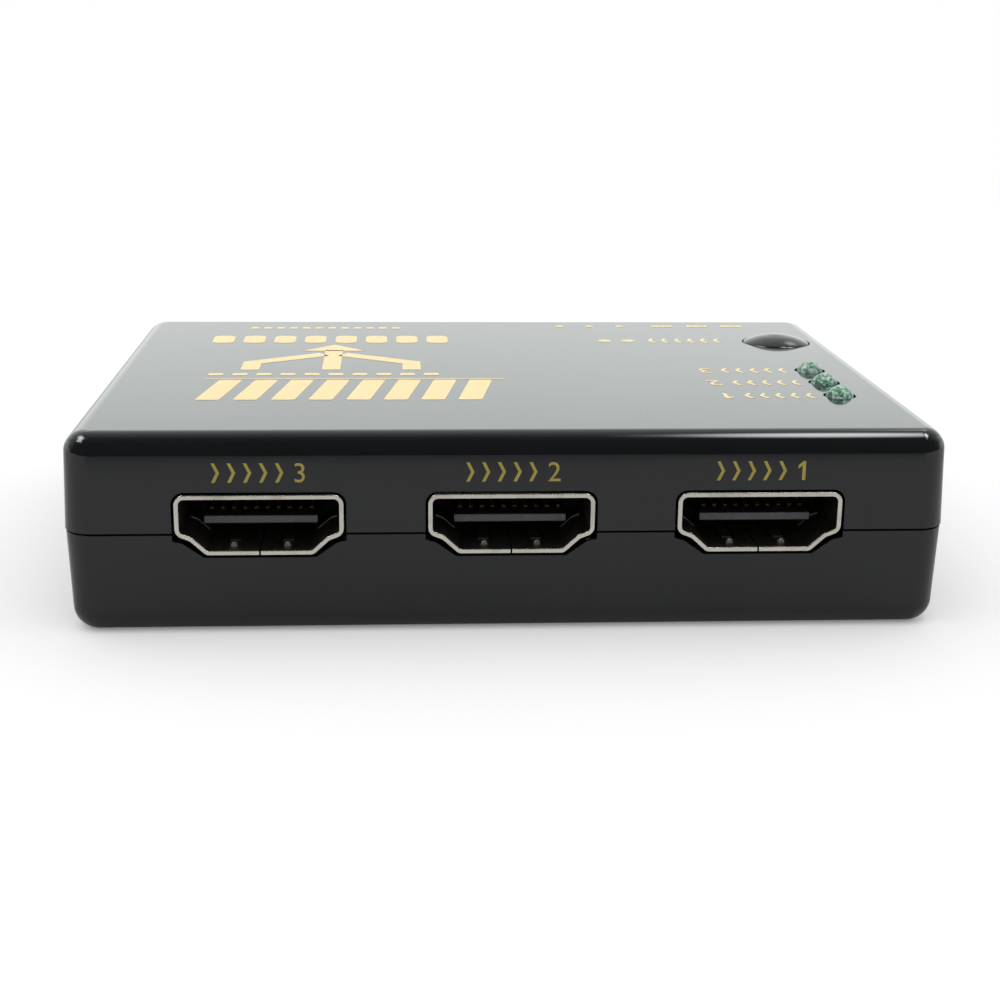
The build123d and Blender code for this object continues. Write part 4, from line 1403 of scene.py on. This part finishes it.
@dataclass
class CircuitBoard:
    """The board with its chips, small parts and solder joints.

    Attributes:
        fillet_waist: A fillet's radius at its tip, as a share of that at the board.
        fillet_bend: How hollow its side is: 1 is straight.
    """

    fillet_radius_mm: float = 0.85
    fillet_height_mm: float = 0.5
    fillet_waist: float = 0.45
    fillet_bend: float = 2.2

    def build(self) -> None:
        """Dresses the board's pieces, then solders each leg below it."""
        dress("circuit_board", Palette.mask, edge_mm=0.06)
        for chip in ("switch_chip", "controller", "regulator", "line_protectors"):
            dress(chip, Palette.epoxy, edge_mm=0.07)
        dress("chip_resistors", Palette.epoxy, edge_mm=0.05)
        dress("chip_capacitors", Palette.ceramic, edge_mm=0.07)
        dress("capacitor_cans", Palette.aluminium, edge_mm=0.3)
        dress("capacitor_bases", Palette.insert, edge_mm=0.12)
        dress("crystal_can", Palette.bright, edge_mm=0.25)
        for leads in ("switch_chip_leads", "controller_leads", "regulator_leads"):
            coat(leads, Palette.tin)
        self.solder()

    def solder(self) -> None:
        """Raises a solder fillet round every leg that comes out below the board."""
        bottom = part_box("circuit_board")[0].z
        seeds = []
        for node in ("lamp_leads", "switch_leads", "power_jack_tails", "remote_jack_tails"):
            for low, high in solids_of(node):
                seeds.append(Vector(((low.x + high.x) / 2, (low.y + high.y) / 2, bottom)))
        values = {
            "Radius": self.fillet_radius_mm * MM,
            "Height": self.fillet_height_mm * MM,
            "Metal": Palette.solder.material(),
        }
        hand_over(grown("solder_fillets", self.solder_tree(), values, seeds))

    def solder_tree(self) -> Tree:
        """The geometry tree that hangs a hollow-sided cone of solder from each point."""
        tree, given = new_tree("solder fillets", Radius="Float", Height="Float", Metal="Material")
        radius, height = given.outputs["Radius"], given.outputs["Height"]
        steps = {"Vertices": 16, "Side Segments": 4, "Fill Segments": 1}
        size = {"Radius Top": radius, "Radius Bottom": radius, "Depth": height}
        cone = add_node(tree, "GeometryNodeMeshCone", {**steps, **size})
        place = add_node(tree, "GeometryNodeInputPosition")
        up = add_node(tree, "ShaderNodeSeparateXYZ", (place,)).outputs[2]
        level = add_node(tree, "ShaderNodeMath", (up, height), operation="DIVIDE")
        hollow = add_node(tree, "ShaderNodeMath", (level, self.fillet_bend), operation="POWER")
        share = add_node(tree, "ShaderNodeMapRange", (hollow, 0.0, 1.0, self.fillet_waist, 1.0))
        narrow = add_node(tree, "ShaderNodeCombineXYZ", (share, share, 1.0))
        waist = add_node(tree, "ShaderNodeVectorMath", (place, narrow), operation="MULTIPLY")
        drawn = add_node(tree, "GeometryNodeSetPosition", {"Geometry": cone, "Position": waist})
        drop = add_node(tree, "ShaderNodeMath", (height, -1.0), operation="MULTIPLY")
        down = add_node(tree, "ShaderNodeCombineXYZ", {2: drop})
        hung = add_node(tree, "GeometryNodeTransform", {"Geometry": drawn, "Translation": down})
        repeat_out(tree, given, hung)
        return tree


@dataclass
class CaseScrews:
    """Four self-tapping screws with cross-recessed heads."""

    edge_mm: float = 0.12

    def build(self) -> None:
        """Dresses the screws."""
        dress("case_screws", Palette.zinc, self.edge_mm)


@dataclass(frozen=True)
class SoftBox:
    """A soft light overhead that faces the object and lights what is matt."""

    name: str
    place: Triple
    size: float
    watts: float

    def hang(self) -> None:
        """Hangs the light, out of sight of mirrors."""
        data = bpy.data.lights.new(self.name, "AREA")
        data.shape = "SQUARE"
        data.size = self.size
        data.energy = self.watts
        made = bpy.data.objects.new(self.name, data)
        made.location = self.place
        made.rotation_euler = (-Vector(self.place)).to_track_quat("-Z", "Y").to_euler()
        made.visible_glossy = False
        made.visible_camera = False
        bpy.context.scene.collection.objects.link(made)


@dataclass(frozen=True)
class GlossPatch:
    """A soft box overhead as the gloss shows it: a bright patch of the world that fades towards its rim.

    Attributes:
        centre: The level part of the direction to the patch's middle.
        half: Half of its width and depth, measured the same way.
        level: Its light in the middle.
        core: The share of its size that is fully bright.
    """

    centre: Pair
    half: Pair
    level: float
    core: float = 0.15

    def glow(self, tree: Tree, way: Socket, strength: float) -> Socket:
        """Adds the nodes for this patch.

        Args:
            tree: The world's node tree.
            way: The direction that a ray looks in.
            strength: What the world multiplies its colours by.

        Returns:
            The patch's light over that strength.
        """
        aside = add_node(tree, "ShaderNodeVectorMath", (way, (*self.centre, 0)), operation="SUBTRACT")
        scale = (1 / self.half[0], 1 / self.half[1], 0)
        share = add_node(tree, "ShaderNodeVectorMath", (aside, scale), operation="MULTIPLY")
        far = add_node(tree, "ShaderNodeVectorMath", (share,), operation="LENGTH").outputs["Value"]
        fade = (far, 1.0, self.core, 0.0, self.level / strength)
        return add_node(tree, "ShaderNodeMapRange", fade, interpolation_type="SMOOTHSTEP").outputs[0]


@dataclass
class Studio:
    """The pale table, the sweep behind it, soft light and the camera that took the photograph.

    Attributes:
        table_drop_m: How far below the object's foot the table lies.
        table_fade_m: The distances between which the table turns white.
        ambient: The room's light on what is matt.
        side_share: How much the sides count as height in the sweep.
        sweep_stops: The sweep's light by its angle in degrees, from behind the object over it to the front.
    """

    table_half_m: float = 4.0
    table_front_m: float = -0.118
    table_drop_m: float = 0.00001
    table_fade_m: Pair = (0.12, 0.5)
    table_colour: str = "#dedede"
    table_seen_colour: str = "#f6f6f6"
    table_lift: float = 0.17
    camera_mm: Triple = (-10.564, -174.071, 53.479)
    yaw_deg: float = 3.762
    pitch_deg: float = 15.847
    roll_deg: float = 0.704
    focal_share: float = 1.6817
    sensor_mm: float = 36
    clip_m: Pair = (0.005, 50)
    ambient: float = 0.9
    side_share: float = 0.25
    sweep_strength: float = 1.7
    sweep_tint: Triple = (0.95, 1.0, 0.985)
    sweep_stops: tuple[Pair, ...] = (
        (0, 0.8),
        (15, 0.92),
        (24, 0.8),
        (34, 0.66),
        (50, 0.56),
        (70, 0.4),
        (85, 0.22),
        (98, 0.1),
        (120, 0.06),
        (180, 0.045),
    )
    fill: SoftBox = SoftBox("fill", place=(-0.12, -0.2, 0.7), size=0.6, watts=0.5)
    patches: tuple[GlossPatch, ...] = (
        GlossPatch(centre=(0.255, 0.05), half=(0.12, 0.36), level=12.0),
        GlossPatch(centre=(0.46, 0.0), half=(0.14, 0.34), level=18.0),
        GlossPatch(centre=(0.36, 0.6), half=(0.12, 0.12), level=2.5),
        GlossPatch(centre=(-0.52, 0.05), half=(0.22, 0.42), level=12.0),
    )

    def build(self) -> None:
        """Sets the world, the lights, the table and the camera."""
        bpy.context.scene.view_settings.view_transform = "Standard"
        self.world()
        self.table()
        self.fill.hang()
        self.camera()

    def world(self) -> None:
        """White to the camera; in mirrors, a bright sweep that darkens overhead and towards the front."""
        world = bpy.data.worlds.new("studio")
        world.use_nodes = True
        tree = world.node_tree
        tree.nodes.clear()
        path = add_node(tree, "ShaderNodeLightPath").outputs
        white = linear("#ffffff")
        glossy = path["Is Glossy Ray"]
        mirror = {0: glossy, 2: self.ambient, 3: self.sweep_strength}
        other = add_node(tree, "ShaderNodeMix", mirror, data_type="FLOAT")
        room = {0: glossy, 6: white, 7: self.mirrored(tree)}
        shade = add_node(tree, "ShaderNodeMix", room, data_type="RGBA")
        direct = (path["Is Camera Ray"], path["Is Transmission Ray"])
        seen = add_node(tree, "ShaderNodeMath", direct, operation="MAXIMUM")
        strength = add_node(tree, "ShaderNodeMix", {0: seen, 2: other, 3: 1.0}, data_type="FLOAT")
        colour = add_node(tree, "ShaderNodeMix", {0: seen, 6: shade.outputs[2], 7: white}, data_type="RGBA")
        light = {"Color": colour.outputs[2], "Strength": strength}
        add_node(tree, "ShaderNodeOutputWorld", {"Surface": add_node(tree, "ShaderNodeBackground", light)})
        bpy.context.scene.world = world

    def mirrored(self, tree: Tree) -> Socket:
        """The world as the gloss shows it: the sweep with the soft boxes over it."""
        way = add_node(tree, "ShaderNodeTexCoord").outputs["Generated"]
        axis = add_node(tree, "ShaderNodeSeparateXYZ", (way,)).outputs
        above = add_node(tree, "ShaderNodeMath", (axis[2], 0.0), operation="MAXIMUM")
        aside = add_node(tree, "ShaderNodeMath", (axis[0],), operation="ABSOLUTE")
        height = add_node(tree, "ShaderNodeMath", (aside, self.side_share, above), operation="MULTIPLY_ADD")
        over = add_node(tree, "ShaderNodeMath", (height, axis[1]), operation="ARCTAN2")
        turn = add_node(tree, "ShaderNodeMath", (over, math.pi), operation="DIVIDE")
        sweep = add_node(tree, "ShaderNodeValToRGB", (turn,))
        stops = sweep.color_ramp.elements
        for _ in self.sweep_stops[2:]:
            stops.new(0.5)
        for stop, (angle, level) in zip(stops, self.sweep_stops):
            stop.position = angle / 180
            stop.color = [level * tint for tint in self.sweep_tint] + [1.0]
        glow = sweep.outputs[0]
        for patch in self.patches:
            lit = patch.glow(tree, way, self.sweep_strength)
            glow = add_node(tree, "ShaderNodeVectorMath", (glow, lit), operation="ADD").outputs[0]
        return glow

    def table(self) -> None:
        """A pale matt table that turns plain white away from the object and keeps its shadow."""
        half, front = self.table_half_m, self.table_front_m
        mesh = bpy.data.meshes.new("table")
        corners = [(-half, front), (half, front), (half, half), (-half, half)]
        mesh.from_pydata([(x, y, -self.table_drop_m) for x, y in corners], [], [(0, 1, 2, 3)])
        mesh.materials.append(self.table_top())
        in_scene("table", mesh)

    def table_top(self) -> bpy.types.Material:
        """The table's finish: matt in other things' light, and white to the camera where it fades."""
        material = bpy.data.materials.new("Pale matt table top")
        material.use_nodes = True
        tree = material.node_tree
        tree.nodes.clear()
        place = add_node(tree, "ShaderNodeTexCoord").outputs["Object"]
        far = add_node(tree, "ShaderNodeVectorMath", (place,), operation="LENGTH").outputs["Value"]
        away = (far, *self.table_fade_m)
        fade = add_node(tree, "ShaderNodeMapRange", away, interpolation_type="SMOOTHSTEP")
        path = add_node(tree, "ShaderNodeLightPath").outputs
        indirect = (path["Is Glossy Ray"], path["Is Transmission Ray"])
        mirrored = add_node(tree, "ShaderNodeMath", indirect, operation="MAXIMUM")
        seen = add_node(tree, "ShaderNodeMath", (path["Is Camera Ray"], mirrored), operation="MAXIMUM")
        share = add_node(tree, "ShaderNodeMath", (seen, fade), operation="MULTIPLY")
        matt = add_node(tree, "ShaderNodeBsdfDiffuse", {"Color": linear(self.table_colour)})
        shaded = add_node(tree, "ShaderNodeBsdfDiffuse", {"Color": linear(self.table_seen_colour)})
        lift = add_node(tree, "ShaderNodeEmission", {"Strength": self.table_lift})
        white = add_node(tree, "ShaderNodeEmission", {"Strength": 1.0})
        lifted = add_node(tree, "ShaderNodeAddShader", (shaded, lift))
        near = add_node(tree, "ShaderNodeMixShader", (path["Is Camera Ray"], matt, lifted))
        whole = add_node(tree, "ShaderNodeMixShader", (share, near, white))
        add_node(tree, "ShaderNodeOutputMaterial", {"Surface": whole})
        return material

    def camera(self) -> None:
        """Sets up the camera as it was fitted to the photograph."""
        yaw, pitch, roll = (math.radians(a) for a in (self.yaw_deg, self.pitch_deg, self.roll_deg))
        ahead = Vector((math.sin(yaw) * math.cos(pitch), math.cos(yaw) * math.cos(pitch), -math.sin(pitch)))
        level = Vector((math.cos(yaw), -math.sin(yaw), 0))
        above = level.cross(ahead)
        right = level * math.cos(roll) + above * math.sin(roll)
        up = above * math.cos(roll) - level * math.sin(roll)
        data = bpy.data.cameras.new("camera")
        data.sensor_width = self.sensor_mm
        data.lens = self.focal_share * data.sensor_width
        data.clip_start, data.clip_end = self.clip_m
        made = bpy.data.objects.new("camera", data)
        turn = Matrix((right, up, -ahead)).transposed().to_4x4()
        made.matrix_world = Matrix.Translation(Vector(self.camera_mm) * MM) @ turn
        bpy.context.scene.collection.objects.link(made)
        bpy.context.scene.camera = made


def main() -> None:
    """Builds every part of the looks."""
    logging.basicConfig(level=logging.INFO, format="%(message)s")
    CaseShells().build()
    CasePrint().build()
    VideoSockets().build()
    Lamps().build()
    SelectButton().build()
    RoundJacks().build()
    CircuitBoard().build()
    CaseScrews().build()
    Studio().build()


if __name__ == "__main__":
    main()
